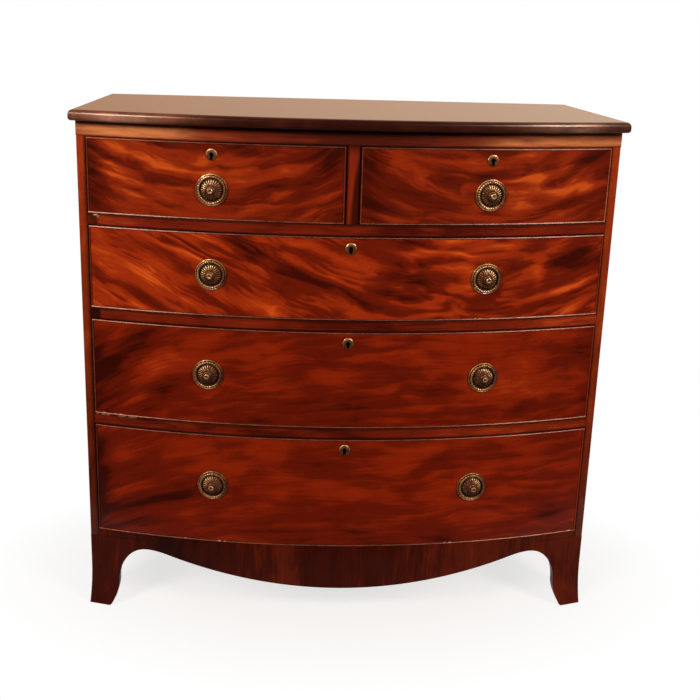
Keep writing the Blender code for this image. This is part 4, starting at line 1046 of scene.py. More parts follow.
# Light and dark places in each leaf: place across and up the drawer as shares of its size, half
# the length along the grain and half the width across it in metres, and how much lighter it is
PLACES = {
    "short_left": [
        (0.01, 0.5, 0.03, 0.1, -0.3), (0.2, 0.45, 0.09, 0.06, 0.1), (0.8, 0.5, 0.09, 0.07, -0.06),
        (0.22, 0.77, 0.1, 0.01, 0.28), (0.22, 0.6, 0.09, 0.011, -0.24), (0.11, 0.56, 0.03, 0.012, 0.24),
        (0.09, 0.17, 0.07, 0.008, 0.24), (0.67, 0.56, 0.08, 0.01, 0.22), (0.76, 0.68, 0.02, 0.014, 0.2),
        (0.89, 0.56, 0.07, 0.018, -0.26), (0.63, 0.38, 0.08, 0.011, -0.18), (0.7, 0.87, 0.08, 0.012, 0.12),
        (0.91, 0.15, 0.06, 0.012, 0.12), (0.4, 0.1, 0.06, 0.01, -0.08), (0.95, 0.85, 0.04, 0.03, -0.28),
        (0.78, 0.5, 0.06, 0.03, 0.1), (0.93, 0.5, 0.035, 0.02, 0.09), (0.43, 0.15, 0.06, 0.03, 0.15),
        (0.58, 0.5, 0.05, 0.06, 0.09), (0.97, 0.15, 0.04, 0.03, -0.13),
    ],
    "short_right": [
        (0.25, 0.5, 0.09, 0.07, -0.04), (0.8, 0.45, 0.08, 0.06, 0.14), (0.02, 0.7, 0.025, 0.04, -0.3),
        (0.02, 0.15, 0.025, 0.04, -0.2), (0.12, 0.85, 0.05, 0.012, 0.18), (0.22, 0.72, 0.06, 0.01, 0.22),
        (0.37, 0.6, 0.1, 0.011, -0.32), (0.24, 0.34, 0.06, 0.015, -0.24), (0.37, 0.42, 0.05, 0.01, 0.14),
        (0.72, 0.63, 0.09, 0.008, 0.26), (0.81, 0.77, 0.02, 0.018, 0.24), (0.92, 0.83, 0.055, 0.026, -0.3),
        (0.87, 0.5, 0.05, 0.012, 0.22), (0.82, 0.27, 0.07, 0.012, -0.26), (0.79, 0.12, 0.06, 0.008, 0.18),
        (0.11, 0.18, 0.07, 0.01, -0.16), (0.55, 0.16, 0.08, 0.012, 0.1), (0.05, 0.85, 0.05, 0.03, -0.1),
        (0.42, 0.7, 0.09, 0.05, 0.1), (0.72, 0.87, 0.06, 0.03, 0.14), (1.0, 0.5, 0.03, 0.1, -0.12),
        (0.58, 0.48, 0.06, 0.03, 0.1), (0.05, 0.15, 0.05, 0.03, -0.07), (0.76, 0.15, 0.05, 0.03, 0.06),
    ],
    "upper": [
        (0.08, 0.5, 0.09, 0.08, 0.1), (0.32, 0.75, 0.03, 0.014, -0.3), (0.34, 0.12, 0.05, 0.02, 0.14),
        (0.38, 0.65, 0.045, 0.012, -0.26), (0.44, 0.45, 0.05, 0.014, -0.28), (0.1, 0.2, 0.06, 0.01, -0.18),
        (0.27, 0.22, 0.05, 0.015, 0.2), (0.36, 0.8, 0.05, 0.012, 0.18), (0.61, 0.53, 0.05, 0.018, -0.38),
        (0.69, 0.5, 0.035, 0.012, -0.3), (0.61, 0.25, 0.06, 0.014, -0.26), (0.63, 0.93, 0.09, 0.008, -0.22),
        (0.76, 0.86, 0.1, 0.012, 0.22), (0.71, 0.72, 0.05, 0.01, 0.12), (0.93, 0.7, 0.06, 0.03, -0.38),
        (0.93, 0.36, 0.05, 0.012, 0.28), (0.9, 0.2, 0.06, 0.01, -0.3), (0.94, 0.07, 0.08, 0.008, 0.24),
        (0.87, 0.58, 0.012, 0.03, 0.22), (0.66, 0.16, 0.08, 0.008, 0.16), (0.14, 0.55, 0.05, 0.01, 0.16),
        (0.45, 0.9, 0.07, 0.02, -0.09), (0.54, 0.88, 0.05, 0.02, -0.12), (0.97, 0.9, 0.04, 0.02, -0.07),
        (0.04, 0.13, 0.05, 0.03, 0.07), (0.2, 0.12, 0.11, 0.025, 0.12), (0.58, 0.14, 0.08, 0.03, -0.09),
        (0.97, 0.22, 0.045, 0.045, -0.13), (0.29, 0.62, 0.04, 0.02, -0.11), (0.79, 0.5, 0.06, 0.04, 0.1),
    ],
    "middle": [
        (0.88, 0.5, 0.11, 0.08, 0.14), (1.0, 0.5, 0.03, 0.11, -0.12), (0.0, 0.5, 0.03, 0.11, -0.27),
        (0.1, 0.83, 0.055, 0.024, -0.3), (0.13, 0.28, 0.065, 0.022, -0.28), (0.09, 0.2, 0.03, 0.01, 0.3),
        (0.15, 0.66, 0.07, 0.014, 0.2), (0.24, 0.42, 0.06, 0.012, 0.16), (0.04, 0.55, 0.04, 0.022, -0.26),
        (0.5, 0.25, 0.12, 0.02, -0.16), (0.8, 0.4, 0.08, 0.015, 0.14), (0.88, 0.18, 0.09, 0.014, -0.2),
        (0.72, 0.75, 0.1, 0.016, 0.12), (0.93, 0.62, 0.06, 0.01, -0.14), (0.03, 0.1, 0.08, 0.035, -0.15),
        (0.46, 0.08, 0.16, 0.035, -0.12), (0.98, 0.1, 0.05, 0.035, -0.15), (0.25, 0.9, 0.09, 0.03, 0.16),
        (0.46, 0.9, 0.08, 0.03, -0.11), (0.66, 0.72, 0.11, 0.05, 0.09),
    ],
    "lower": [
        (0.1, 0.5, 0.08, 0.1, -0.1), (0.0, 0.5, 0.028, 0.13, -0.34), (0.06, 0.75, 0.05, 0.018, 0.24),
        (0.08, 0.58, 0.055, 0.018, -0.16), (0.08, 0.45, 0.06, 0.01, 0.2), (0.14, 0.29, 0.06, 0.012, 0.04),
        (0.17, 0.36, 0.09, 0.03, -0.11), (0.08, 0.2, 0.05, 0.01, 0.14), (0.25, 0.7, 0.07, 0.014, 0.18),
        (0.3, 0.1, 0.08, 0.016, -0.18), (0.55, 0.55, 0.1, 0.02, 0.1), (0.85, 0.35, 0.09, 0.014, -0.14),
        (0.7, 0.8, 0.08, 0.012, -0.08), (0.92, 0.2, 0.06, 0.016, -0.22), (0.07, 0.1, 0.11, 0.05, -0.24),
        (0.5, 0.06, 0.17, 0.04, -0.2), (0.84, 0.08, 0.14, 0.035, -0.1), (0.54, 0.38, 0.1, 0.03, -0.1),
        (0.0, 0.45, 0.05, 0.12, -0.09), (0.2, 0.62, 0.12, 0.03, 0.1), (0.74, 0.64, 0.11, 0.03, 0.09),
    ],
}
for name in DRAWERS:
    left, right, low, high = drawer_limits(name)
    key_x, key_z = key_place(name)
    hole_left, hole_right = key_x - KEY_HOLE_HALF, key_x + KEY_HOLE_HALF
    hole_low, hole_high = key_z - KEY_HOLE_REACH, key_z + KEY_HOLE_HALF
    inset = BEAD_WIDTH / 2
    x = stations(left + inset, right - inset, [hole_left, hole_right], VENEER_PITCH)
    z = stations(low + inset, high - inset, [hole_low, hole_high], VENEER_PITCH)
    grid_x, grid_z = np.meshgrid(x, z)
    points = grid(grid_x, bow_y(grid_x, -VENEER_PROUD), grid_z)
    middle_x = (x[:-1] + x[1:]) / 2
    middle_z = (z[:-1] + z[1:])[:, None] / 2
    hole = (middle_x > hole_left) & (middle_x < hole_right) & (middle_z > hole_low) & (middle_z < hole_high)
    leaf = surface("veneer_" + name, points, "sheet", ~hole)
    across = FLOWS[name](grid_x, grid_z)
    flow = grid(grid_x, across, 0.0)
    grain = leaf.data.attributes.new("figure", "FLOAT_VECTOR", "POINT")
    grain.data.foreach_set("vector", flow.astype(np.float32).ravel())
    share_x, share_z, length, width, lighter = np.array(PLACES[name]).T
    place_x = left + share_x * (right - left)
    place_flow = FLOWS[name](place_x, low + share_z * (high - low))
    near = bump(grid_x[..., None], place_x, length) * bump(across[..., None], place_flow, width)
    mark(leaf, "shade", (lighter * near).sum(axis=-1), -1.0)
    sharpen_rim(leaf.data)
    if leaf.data.polygons[0].normal.y > 0:
        leaf.data.flip_normals()
    thick = leaf.modifiers.new("thickness", "SOLIDIFY")
    thick.thickness = VENEER_THICKNESS
    thick.offset = -1.0
    tones, *values = LEAVES[name]
    finish = mahogany("flame_veneer_" + name, FLAME_STOPS[tones], along="figure", shaded=True,
                      **dict(zip(LEAF_VALUES, values)))
    fit(leaf, finish, "flame_mahogany", "drawer_" + name)

# Cockbeads
# A thin strip of mahogany with a rounded edge runs round each drawer front in a rebate, mitred
# at the corners and standing proud of the veneer. It is painted near black as shade of the gap round
# the drawer, with the wood's own red where no shade is painted. Its crest is worn pale and has painted
# highlights near the ends, and it has nicks.
BEAD_CLEARANCE = 0.00012
BEAD_HEIGHT = 0.0022
BEAD_FOOT = 0.0030
BEAD_SQUARENESS = 2.5
BEAD_ROUND_STEPS = 8
BEAD_PITCH = 0.0025
BEAD_RED = (0.150, 0.0130, 0.0035)
# Pale crest colour: worn wood all along, with a painted highlight near the ends
BEAD_WEAR_AND_SHEEN = (0.50, 0.155, 0.090)
BEAD_GLINT = (0.74, 0.50, 0.44)
CHIPPED_WOOD = (0.50, 0.25, 0.155)

# Ends of the beads that catch the light: middle in x and reach
LEFT_LIT = (-0.44, 0.12)
RIGHT_LIT = (0.38, 0.13)

# Pale crest of the level beads: wear in the middle and, added to it, a painted highlight at the ends. The
# lowest drawer's have less at the left, and above the short drawers there is less of it in all, with more
# red at the ends.
MIDDLE_WEAR = 0.36
BEAD_LEFT_SHEEN = 0.64
BEAD_LOWER_LEFT_SHEEN = 0.20
BEAD_RIGHT_SHEEN = 0.58
SHORT_UPPER_SHARE = 0.6
SHORT_UPPER_RED = 0.8
CREST_SPAN = (0.88, 0.98)

# Glints at the left and right end, of the lower bead and then of the upper one
GLINTS = {
    "short_left": ((0.62, 0.0), (0.0, 0.0)),
    "short_right": ((0.0, 0.62), (0.0, 0.35)),
    "upper": ((0.46, 0.55), (0.55, 0.58)),
    "middle": ((0.14, 0.38), (0.20, 0.36)),
    "lower": ((0.0, 0.32), (0.0, 0.25)),
}

# Redness and paleness of the crest of the upright beads at the left and at the right
SIDE_BEADS = {
    "short_left": ((0.45, 0.45), (0.12, 0.28)),
    "short_right": ((0.35, 0.70), (0.60, 1.0)),
    "upper": ((0.40, 0.85), (0.06, 0.10)),
    "middle": ((0.25, 0.80), (0.15, 0.08)),
    "lower": ((0.10, 0.90), (0.05, 0.08)),
}

# Nicks in the lower beads: how much bare wood shows and from what height of the bead, then for each
# its middle in x and half length
CHIP_BARE = 0.8
CHIP_FROM = 0.6
CHIPS = {
    "upper": ((0.249, 0.0013), (0.258, 0.0026), (0.281, 0.0013)),
    "middle": ((-0.487, 0.0026), (-0.462, 0.0013), (-0.451, 0.0038)),
    "lower": ((-0.322, 0.0013), (-0.251, 0.0026), (-0.240, 0.0013), (0.214, 0.0013),
              (0.226, 0.0026), (0.490, 0.0040)),
}
# Near-black ramp: painted shade of the gap round the drawer; red brings back the wood's own colour
bead_mahogany = mahogany(
    "bead_mahogany",
    [(0.15, (0.010, 0.0020, 0.001)), (0.5, (0.026, 0.0038, 0.0015)), (0.85, (0.06, 0.010, 0.004))],
    seed=71.0, broad=0.5, fibre=0.5, roughness=(0.50, 0.60), coat=0.0, specular=0.10,
    worn=(("red", BEAD_RED, 0.3), ("crest", BEAD_WEAR_AND_SHEEN, 0.3), ("glint", BEAD_GLINT, 0.0),
          ("bare", CHIPPED_WOOD, 0.0)),
)


def bead_steps(length):
    """Shares of a bead's side at which its section stands, without the last one."""
    return np.linspace(0, 1, max(2, round(length / BEAD_PITCH)) + 1)[:-1, None]


def bead_loop(left, right, low, high):
    """Bead round a rectangle on the bow: a superellipse section carried along four mitred sides.

    A point at a distance inside the edge runs along a rectangle that is smaller by that distance.
    """
    across = np.linspace(-1, 1, BEAD_ROUND_STEPS + 1)
    width = BEAD_WIDTH + 2 * BEAD_CLEARANCE
    inside = np.concatenate([(across + 1) / 2 * width, [width, 0.0]]) - BEAD_CLEARANCE
    crest = BEAD_HEIGHT * np.sqrt(1 - np.abs(across) ** BEAD_SQUARENESS)
    proud = np.concatenate([crest, [-BEAD_FOOT, -BEAD_FOOT]])
    level, upright = bead_steps(right - left), bead_steps(high - low)
    x0, x1 = left + inside, right - inside
    z0, z1 = low + inside, high - inside
    sides = (
        (x0 + (x1 - x0) * level, z0), (x1, z0 + (z1 - z0) * upright),
        (x1 + (x0 - x1) * level, z1), (x0, z1 + (z0 - z1) * upright),
    )
    x, z = np.concatenate([np.stack(np.broadcast_arrays(*side)) for side in sides], axis=1)
    return grid(x, bow_y(x, -proud), z)


for number, name in enumerate(DRAWERS):
    left, right, low, high = drawer_limits(name)
    points = bead_loop(left, right, low, high)
    bead = surface("cockbead_" + name, points, "loop")
    point_x, point_z = points[..., 0], points[..., 2]
    proud = (bow_y(point_x) - points[..., 1]) / BEAD_HEIGHT
    left_end, right_end = bump(point_x, *LEFT_LIT), bump(point_x, *RIGHT_LIT)
    uneven = 0.5 + ripple(point_x + 1.7 * point_z, number)
    middle_z = (low + high) / 2
    upper_line = point_z > middle_z
    short_upper = upper_line & name.startswith("short")
    level = np.abs(point_z - middle_z) > (high - low) / 2 - BEAD_WIDTH
    at_right = (point_x > (left + right) / 2).astype(int)
    side_red, side_pale = np.array(SIDE_BEADS[name])[:, at_right]
    # Red lifts the painted shade on the upright beads, and at the ends of the short drawers' upper beads
    upper_red = SHORT_UPPER_RED * np.minimum(left_end + right_end, 1.0) * short_upper
    mark(bead, "red", np.where(level, upper_red, side_red))
    # Pale crest: wear all along, and a painted highlight added near the ends where the lamps catch it
    left_sheen = BEAD_LOWER_LEFT_SHEEN if name == "lower" else BEAD_LEFT_SHEEN
    pale = (MIDDLE_WEAR + left_sheen * left_end + BEAD_RIGHT_SHEEN * right_end) * uneven
    pale = np.where(short_upper, SHORT_UPPER_SHARE, 1.0) * pale
    on_crest = np.where(level, 1.0, side_pale) * ramp(proud, *CREST_SPAN)
    mark(bead, "crest", pale * on_crest)
    lower_glint, upper_glint = np.array(GLINTS[name])[..., None, None]
    left_glint, right_glint = np.where(upper_line, upper_glint, lower_glint)
    glint = (left_glint * left_end + right_glint * right_end) * uneven
    mark(bead, "glint", glint * on_crest * level)
    bare = np.zeros_like(proud)
    for place, reach in CHIPS.get(name, ()):
        chip = (np.abs(point_x - place) < reach) & (point_z < low + BEAD_WIDTH) & (proud > CHIP_FROM)
        bare = np.maximum(bare, CHIP_BARE * chip)
    mark(bead, "bare", bare)
    fit(bead, bead_mahogany, "flame_mahogany", "drawer_" + name)

# Drawer locks
# An iron lock let into the back of each front, with a brass bolt that slides up into the rail.
# Both are the CAD solids, in dull filed metal.
metal_group, given, result = new_group("worn_metal", ("Scale",), ("Mottle", "Scratches"))
mottle = {"Vector": given["Vector"], "Scale": given["Scale"], "Detail": 4.0}
connect(metal_group, result, {
    "Mottle": add(metal_group, "ShaderNodeTexNoise", mottle).outputs["Fac"],
    "Scratches": scaled_noise(metal_group, given["Vector"], (900.0, 900.0, 120.0), 2.0)["Fac"],
})


def worn_metal(name, stops, roughness, scale, patina_and_light=None, metallic=1.0):
    """Old metal: mottled along a ramp of colours, and toned by an attribute of patina and painted light."""
    material, tree, shader = new_material(name)
    values = {"Vector": own_place(tree), "Scale": scale}
    metal = add(tree, "ShaderNodeGroup", values, node_tree=metal_group).outputs
    lightness = map_range(tree, metal["Mottle"], 0.30, 0.70)
    if patina_and_light:
        uneven = math_node(tree, "SUBTRACT", lightness, 0.5)
        lightness = math_node(tree, "MULTIPLY_ADD", uneven, 0.40, kept_value(tree, patina_and_light), True)
    smooth, rough = roughness
    dent = {"Height": metal["Scratches"], "Strength": 0.10, "Distance": 0.0002}
    connect(tree, shader, {
        "Base Color": colour_ramp(tree, lightness, stops),
        "Roughness": map_range(tree, lightness, 0.0, 1.0, rough, smooth),
        "Metallic": metallic,
        "Normal": add(tree, "ShaderNodeBump", dent).outputs[0],
    })
    return material


IRON_STOPS = [(0.0, (0.055, 0.042, 0.034)), (1.0, (0.25, 0.23, 0.21))]
BOLT_STOPS = [(0.0, (0.20, 0.12, 0.045)), (1.0, (0.55, 0.38, 0.17))]
lock_iron = worn_metal("lock_iron", IRON_STOPS, (0.38, 0.60), 60.0)
bolt_brass = worn_metal("bolt_brass", BOLT_STOPS, (0.28, 0.45), 90.0)
for name in DRAWERS:
    dress("lock_" + name, lock_iron)
    dress("lock_bolt_" + name, bolt_brass)

# Escutcheons
# A round of cast brass with a soft edge is let into each front over the key's hole, which is
# a round with a slot below it. The brass has browned with age.
ESCUTCHEON_PROUD = 0.0024
KEYHOLE_RADIUS = 0.0041
KEYHOLE_SLOT = 0.0027
KEYHOLE_FOOT = 0.0094
# The height attribute of the brass holds patina in its hollows together with painted light
aged_brass = worn_metal(
    "aged_brass",
    [(0.0, (0.050, 0.012, 0.004)), (0.45, (0.18, 0.070, 0.023)), (0.70, (0.37, 0.188, 0.072)),
     (1.0, (0.80, 0.55, 0.31))],
    (0.34, 0.60), 190.0, "height", 0.72,
)

# Section from the keyhole to the rim: share of the way, height as a share, and brightness, which is
# low towards the keyhole and highest near the rim, where it paints a highlight
KEY_PROFILE = [
    (0.0, 0.0, 0.0), (0.0, 0.80, 0.10), (0.04, 0.97, 0.35), (0.12, 1.0, 0.45), (0.45, 1.0, 0.50),
    (0.75, 0.96, 0.70), (0.88, 0.86, 1.0), (0.96, 0.66, 0.9), (1.0, 0.40, 0.30), (1.0, 0.0, 0.05),
]


def on_front(place, across, out, up):
    """World points from local ones on the bow: along its tangent, out from the wood and up.

    place is the x and z of the local origin on the bowed face.
    """
    x, z = place
    angle = math.asin(x / bow_radius)
    world_x = x + across * math.cos(angle) + out * math.sin(angle)
    world_y = float(bow_y(x)) + across * math.sin(angle) - out * math.cos(angle)
    return grid(world_x, world_y, z + up)


def keyhole_angles():
    """Directions round the keyhole, with the corners of the slot among them."""
    full = 2 * math.pi
    foot = math.atan2(KEYHOLE_SLOT, KEYHOLE_FOOT)
    neck = math.asin(KEYHOLE_SLOT / KEYHOLE_RADIUS)
    spans = ((-foot, foot, 6), (foot, neck, 10), (neck, full - neck, 56), (full - neck, full - foot, 10))
    return np.concatenate([np.linspace(a, b, n + 1)[:-1] for a, b, n in spans]) - math.pi / 2


def keyhole_reach(angle):
    """Distance from the middle to the keyhole's edge: the round, or the slot where it reaches further."""
    slot = np.minimum(KEYHOLE_SLOT / np.maximum(np.abs(np.cos(angle)), 1e-6),
                      KEYHOLE_FOOT / np.maximum(-np.sin(angle), 1e-6))
    return np.maximum(KEYHOLE_RADIUS, np.where(np.sin(angle) < 0, slot, 0.0))


angle = keyhole_angles()
hole = keyhole_reach(angle)
escutcheon_low, escutcheon_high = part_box("escutcheon_upper")
escutcheon_radius = (escutcheon_high.z - escutcheon_low.z) / 2
share, proud, crest = np.array(KEY_PROFILE).T[..., None]
radius = hole + (escutcheon_radius - hole) * share
for name in DRAWERS:
    points = on_front(key_place(name), radius * np.cos(angle), proud * ESCUTCHEON_PROUD,
                      radius * np.sin(angle))
    piece = surface("key_plate_" + name, points, "loop")
    # Painted light: the brass is lighter at the top of each escutcheon and darker at its foot
    mark(piece, "height", crest * (0.62 + 0.38 * np.sin(angle)))
    fit(piece, aged_brass, "aged_brass", "drawer_" + name, "escutcheon_" + name)

# Pull plates
# Each pull is a round brass stamping with a raised rim, a trough, a gadrooned boss and a turned
# button in the middle. Its stud goes through the front and is held by a nut inside the drawer.
PULLS = ("short_left", "short_right", "upper_left", "upper_right", "middle_left", "middle_right",
         "lower_left", "lower_right")
PULL_STEPS = 240
PULL_LOBES = 24
LOBE_HEIGHT = 0.0016
LOBE_NOTCH = 0.0007
LOBE_INNER = 0.0092
LOBE_OUTER = 0.0203
LOBE_TIP = 0.0178
LOBE_ROOT = 0.003
LOBE_SOFT = 0.0004
LOBE_SHINE = 0.70
BOSS_INNER = 0.0072
BOSS_OUTER = 0.0205
PLATE_BACK = 0.0003
LIT_TURN = math.radians(35.0)
LUG_SIDES = 32
LUG_HALF = 0.0025
NUT_SIDES = 36
RING_OUT = 0.0044
RING_UP = 0.0253
FRONT_THICKNESS = 0.022

# How bright the brass of each drawer's pulls is, and the least share of it on a boss away from the light
PULL_BRIGHTNESS = {"short_left": (1.12, 0.30), "short_right": (1.12, 0.30), "upper": (1.08, 0.30),
              "middle": (0.98, 0.05), "lower": (0.92, 0.05)}

# Sections from the middle outwards. Plate: radius, height and brightness; lug: place along it as a
# share of its half length, radius and brightness; nut: radius and height over the front's back.
PULL_PROFILE = [
    (0.0004, 0.0170, 0.15), (0.0012, 0.0169, 0.15), (0.0020, 0.0173, 0.30), (0.0028, 0.0180, 0.60),
    (0.0038, 0.0182, 0.75), (0.0048, 0.0177, 0.85), (0.0054, 0.0166, 0.60), (0.0055, 0.0152, 0.30),
    (0.0049, 0.0138, 0.10), (0.0046, 0.0122, 0.02), (0.0056, 0.0116, 0.08), (0.0064, 0.0117, 0.35),
    (0.0072, 0.0114, 0.50), (0.0079, 0.0106, 0.25), (0.0083, 0.0094, 0.02), (0.0092, 0.0086, 0.02),
    (0.0104, 0.0084, 0.16), (0.0120, 0.0081, 0.22), (0.0138, 0.0077, 0.26), (0.0156, 0.0071, 0.30),
    (0.0172, 0.0065, 0.45), (0.0184, 0.0060, 0.75), (0.0194, 0.0050, 0.85), (0.0201, 0.0036, 0.40),
    (0.0204, 0.0020, 0.00), (0.0208, 0.0013, 0.02), (0.0225, 0.0012, 0.06), (0.0255, 0.0012, 0.15),
    (0.0268, 0.0016, 0.35), (0.0276, 0.0024, 0.60), (0.0283, 0.0031, 0.72), (0.0291, 0.0035, 0.80),
    (0.0299, 0.0033, 0.78), (0.0305, 0.0027, 0.65), (0.0309, 0.0019, 0.42), (0.0310, 0.0010, 0.15),
    (0.0310, 0.0, 0.0),
]
LUG_PROFILE = [(-1.0, 0.0031, 0.0), (-1.0, 0.0036, 0.2), (-0.84, 0.0040, 0.5),
               (0.84, 0.0040, 0.5), (1.0, 0.0036, 0.2), (1.0, 0.0031, 0.0)]
NUT_PROFILE = [(0.0004, 0.0046), (0.0054, 0.0046), (0.0062, 0.0038), (0.0062, 0.0006),
               (0.0030, 0.0006), (0.0030, -0.002), (0.0004, -0.002)]
NUT_SHINE = 0.6


def pull_place(name):
    """X and z of a pull on the front: its ring's hinge gives the tangent, and its plate the height."""
    hinge = next(joint for joint in frame["joints"] if joint["name"] == name + "_ring_hinge")
    low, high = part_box("pull_plate_" + name)
    return -bow_radius * hinge["axis"][1], (low.z + high.z) / 2


def pull_drawer(name):
    """Drawer that carries a pull."""
    return name if name.startswith("short") else name.split("_")[0]


def around_circle(steps):
    """Angles of even steps round a circle."""
    return np.linspace(0, 2 * math.pi, steps, endpoint=False)


angle = around_circle(PULL_STEPS)
radius, out, crest = np.array(PULL_PROFILE).T[..., None]
on_lobe = ramp(radius, LOBE_INNER, LOBE_INNER + LOBE_ROOT)
on_lobe = on_lobe * ramp(radius, LOBE_OUTER + LOBE_SOFT, LOBE_OUTER - LOBE_SOFT)
wave = np.cos(PULL_LOBES * angle)
lobe = np.sign(wave) * np.abs(wave) ** 0.8
plate_out = out + PLATE_BACK + LOBE_HEIGHT * on_lobe * (lobe - 1) / 2
plate_radius = radius + LOBE_NOTCH * on_lobe * (lobe - 1) * (radius > LOBE_TIP)
plate_crest = np.clip(crest + LOBE_SHINE * on_lobe * lobe, 0, 1)
on_boss = (radius > BOSS_INNER) & (radius < BOSS_OUTER)
on_rim = radius > BOSS_OUTER
# Painted light on the rim: lighter at the top and the foot, and lighter at the left than at the right
rim_light = np.clip(0.50 + 0.40 * np.sin(angle) ** 2 - 0.22 * np.cos(angle), 0, 1)
lug_turn = around_circle(LUG_SIDES)
lug_along, lug_radius, lug_crest = np.array(LUG_PROFILE).T[..., None]
nut_turn = around_circle(NUT_SIDES)
nut_radius, nut_in = np.array(NUT_PROFILE).T[..., None]
for name in PULLS:
    place = pull_place(name)
    body = "drawer_" + pull_drawer(name)
    shine, least = PULL_BRIGHTNESS[pull_drawer(name)]
    points = on_front(place, plate_radius * np.cos(angle), plate_out, plate_radius * np.sin(angle))
    plate = surface("pull_back_plate_" + name, points, "bar")
    # Painted light on the boss: lighter upwards and outwards, towards the lamp on the pull's own side
    lit = 0.5 + 0.5 * np.cos(angle - math.pi / 2 - math.copysign(LIT_TURN, -place[0]))
    lightness = np.where(on_boss, least + (1 - least) * lit ** 1.5, np.where(on_rim, rim_light, 1.0))
    mark(plate, "height", plate_crest * lightness * shine)
    fit(plate, aged_brass, "aged_brass", body, "pull_plate_" + name)
    points = on_front(place, lug_along * LUG_HALF, RING_OUT + lug_radius * np.cos(lug_turn),
                      RING_UP + lug_radius * np.sin(lug_turn))
    lug = surface("pull_lug_" + name, points, "loop")
    mark(lug, "height", np.broadcast_to(lug_crest, points.shape[:2]))
    fit(lug, aged_brass, "aged_brass", body)
    points = on_front(place, nut_radius * np.cos(nut_turn), -FRONT_THICKNESS - nut_in,
                      nut_radius * np.sin(nut_turn))
    nut = surface("pull_nut_" + name, points, "bar")
    mark(nut, "height", np.full(points.shape[:2], NUT_SHINE))
    fit(nut, aged_brass, "aged_brass", body)

# Pull rings
# A cast brass ring hangs in the lug of each plate and lies in its trough. It is worked as a row
# of beads, and painted light makes it brightest at the top and the foot, darkest at the right and lighter
# on its outer face.
RING_STEPS = 256
RING_SIDES = 24
RING_SECTION = 0.0023
RING_BEADS = 34
BEAD_DEPTH = 0.00050
around = around_circle(RING_STEPS)[:, None]
section = around_circle(RING_SIDES)
swell = np.sqrt(np.abs(np.cos(RING_BEADS * around / 2)))
ring_section = RING_SECTION + BEAD_DEPTH * (swell - 1)
ring_radius = RING_UP + ring_section * np.cos(section)
ring_out = RING_OUT + ring_section * np.sin(section)
# Painted light on the ring: lighter at the top and the foot and on its outer face, darker at the right
ring_lit = 0.62 + 0.30 * np.cos(around) ** 2 - 0.18 * np.sin(around)
ring_crest = (0.10 + 0.65 * swell ** 2 + 0.20 * np.sin(section)) * ring_lit
for name in PULLS:
    points = on_front(pull_place(name), ring_radius * np.sin(around), ring_out, ring_radius * np.cos(around))
    piece = surface("pull_hoop_" + name, points, "loop")
    mark(piece, "height", ring_crest * PULL_BRIGHTNESS[pull_drawer(name)][0])
    fit(piece, aged_brass, "aged_brass", "ring_" + name, "pull_ring_" + name)

# Floor, light and camera
# A pale floor and a white surround that gives some light from behind, two large soft lamps high
# on the left and the right, and a camera in front, a little left of the middle and above the top.
FLOOR_SIZE = 6.0
FLOOR_FRONT = -0.50
FLOOR_GREY = (0.80, 0.80, 0.80, 1.0)
WHITE = (1.0, 1.0, 1.0, 1.0)

# The floor keeps a soft shadow round the object: how the distance is squeezed, the two distances
# between which the floor turns white, and the share of white at the nearer one
SHADOW_SQUEEZE = (0.62, 1.0, 1.0)
SHADOW_SPAN = (0.25, 0.50)
SHADOW_WHITE = 0.72

# Light of the surround in front and behind, the spans of direction over which it changes, and
# its colours in mirrored rays at the left and at the right
FRONT_FILL = 0.06
BACK_FILL = 0.35
BEHIND_SPAN = (-0.15, 0.35)
SIDE_SPAN = (-0.35, 0.35)
MIRRORED_LEFT = (0.63, 0.330, 0.178, 1.0)
MIRRORED_RIGHT = (0.92, 0.64, 0.46, 1.0)
LAMP_COLOUR = (1.0, 0.86, 0.72)
LAMP_POWER = {-1: 130.0, 1: 120.0}
LAMP_PLACE = (2.4, -2.6, 2.5)
LAMP_AIM = (0.0, -0.1, 0.65)
LAMP_SIZE = 1.1
CAMERA_PLACE = (-0.1284, -2.1229, 1.2027)
CAMERA_YAW = math.radians(-2.785)
CAMERA_PITCH = math.radians(15.034)
CAMERA_ROLL = math.radians(1.577)
CAMERA_LENS = 51.99
CAMERA_SENSOR = 36.0
CAMERA_SHIFT = (0.02857, -0.0714)

floor_points = np.array([[(-FLOOR_SIZE, FLOOR_FRONT, 0.0), (FLOOR_SIZE, FLOOR_FRONT, 0.0)],
                         [(-FLOOR_SIZE, FLOOR_SIZE, 0.0), (FLOOR_SIZE, FLOOR_SIZE, 0.0)]])
floor = surface("floor", floor_points, "sheet")
floor_paint, tree, _ = new_material("floor_paint")
tree.nodes.remove(tree.nodes["Principled BSDF"])
path = add(tree, "ShaderNodeLightPath").outputs
seen = math_node(tree, "MAXIMUM", path["Is Camera Ray"], path["Is Transmission Ray"])
seen = math_node(tree, "MAXIMUM", seen, path["Is Glossy Ray"])
matt = add(tree, "ShaderNodeBsdfDiffuse", {"Color": FLOOR_GREY}).outputs[0]
glow = add(tree, "ShaderNodeEmission", {"Color": WHITE, "Strength": 1.0}).outputs[0]
squeezed = vector_node(tree, "MULTIPLY", own_place(tree), SHADOW_SQUEEZE)[0]
away = vector_node(tree, "LENGTH", squeezed)["Value"]
fade = map_range(tree, away, *SHADOW_SPAN, SHADOW_WHITE)
pale = add(tree, "ShaderNodeMixShader", {0: fade, 1: matt, 2: glow}).outputs[0]
both = add(tree, "ShaderNodeMixShader", {0: seen, 1: matt, 2: pale}).outputs[0]
connect(tree, tree.nodes["Material Output"].inputs, {"Surface": both})
floor.data.materials.append(floor_paint)

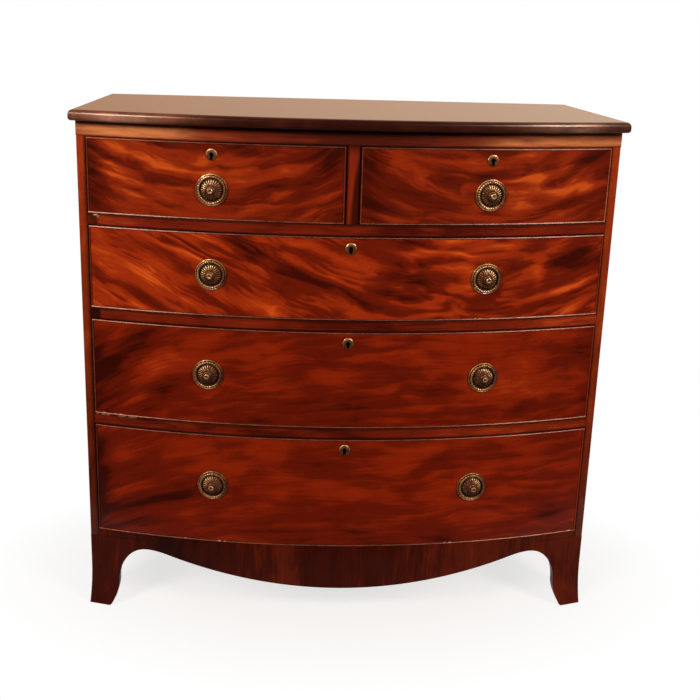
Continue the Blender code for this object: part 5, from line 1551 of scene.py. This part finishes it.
world = bpy.data.worlds.new("surround")
bpy.context.scene.world = world
world.use_nodes = True
tree = world.node_tree
path = add(tree, "ShaderNodeLightPath").outputs
direction = axes_of(tree, add(tree, "ShaderNodeTexCoord").outputs["Generated"])
behind = map_range(tree, direction["Y"], *BEHIND_SPAN)
mirrored = math_node(tree, "MAXIMUM", path["Is Glossy Ray"], path["Is Transmission Ray"])
seen = math_node(tree, "MAXIMUM", path["Is Camera Ray"], math_node(tree, "MULTIPLY", mirrored, behind))
fill = math_node(tree, "MULTIPLY_ADD", behind, BACK_FILL - FRONT_FILL, FRONT_FILL)
wall = mixed(tree, map_range(tree, direction["X"], *SIDE_SPAN), MIRRORED_LEFT, MIRRORED_RIGHT)
connect(tree, tree.nodes["Background"].inputs, {
    "Color": mixed(tree, path["Is Glossy Ray"], WHITE, wall),
    "Strength": math_node(tree, "MAXIMUM", seen, fill),
})

for side, hand in HANDS:
    lamp_data = bpy.data.lights.new(side + "_lamp", "AREA")
    lamp_data.shape = "SQUARE"
    lamp_data.size = LAMP_SIZE
    lamp_data.energy = LAMP_POWER[hand]
    lamp_data.color = LAMP_COLOUR
    lamp = bpy.data.objects.new(side + "_lamp", lamp_data)
    lamp.location = (hand * LAMP_PLACE[0], *LAMP_PLACE[1:])
    lamp.rotation_euler = (Vector(LAMP_AIM) - lamp.location).to_track_quat("-Z", "Y").to_euler()
    bpy.context.scene.collection.objects.link(lamp)

camera_data = bpy.data.cameras.new("camera")
camera_data.lens = CAMERA_LENS
camera_data.sensor_width = CAMERA_SENSOR
camera_data.shift_x, camera_data.shift_y = CAMERA_SHIFT
camera = bpy.data.objects.new("camera", camera_data)
turned = (Matrix.Rotation(CAMERA_YAW, 4, "Z") @ Matrix.Rotation(math.pi / 2 - CAMERA_PITCH, 4, "X")
          @ Matrix.Rotation(CAMERA_ROLL, 4, "Z"))
camera.matrix_world = Matrix.Translation(CAMERA_PLACE) @ turned
bpy.context.scene.collection.objects.link(camera)
bpy.context.scene.camera = camera
bpy.context.scene.view_settings.view_transform = "Standard"
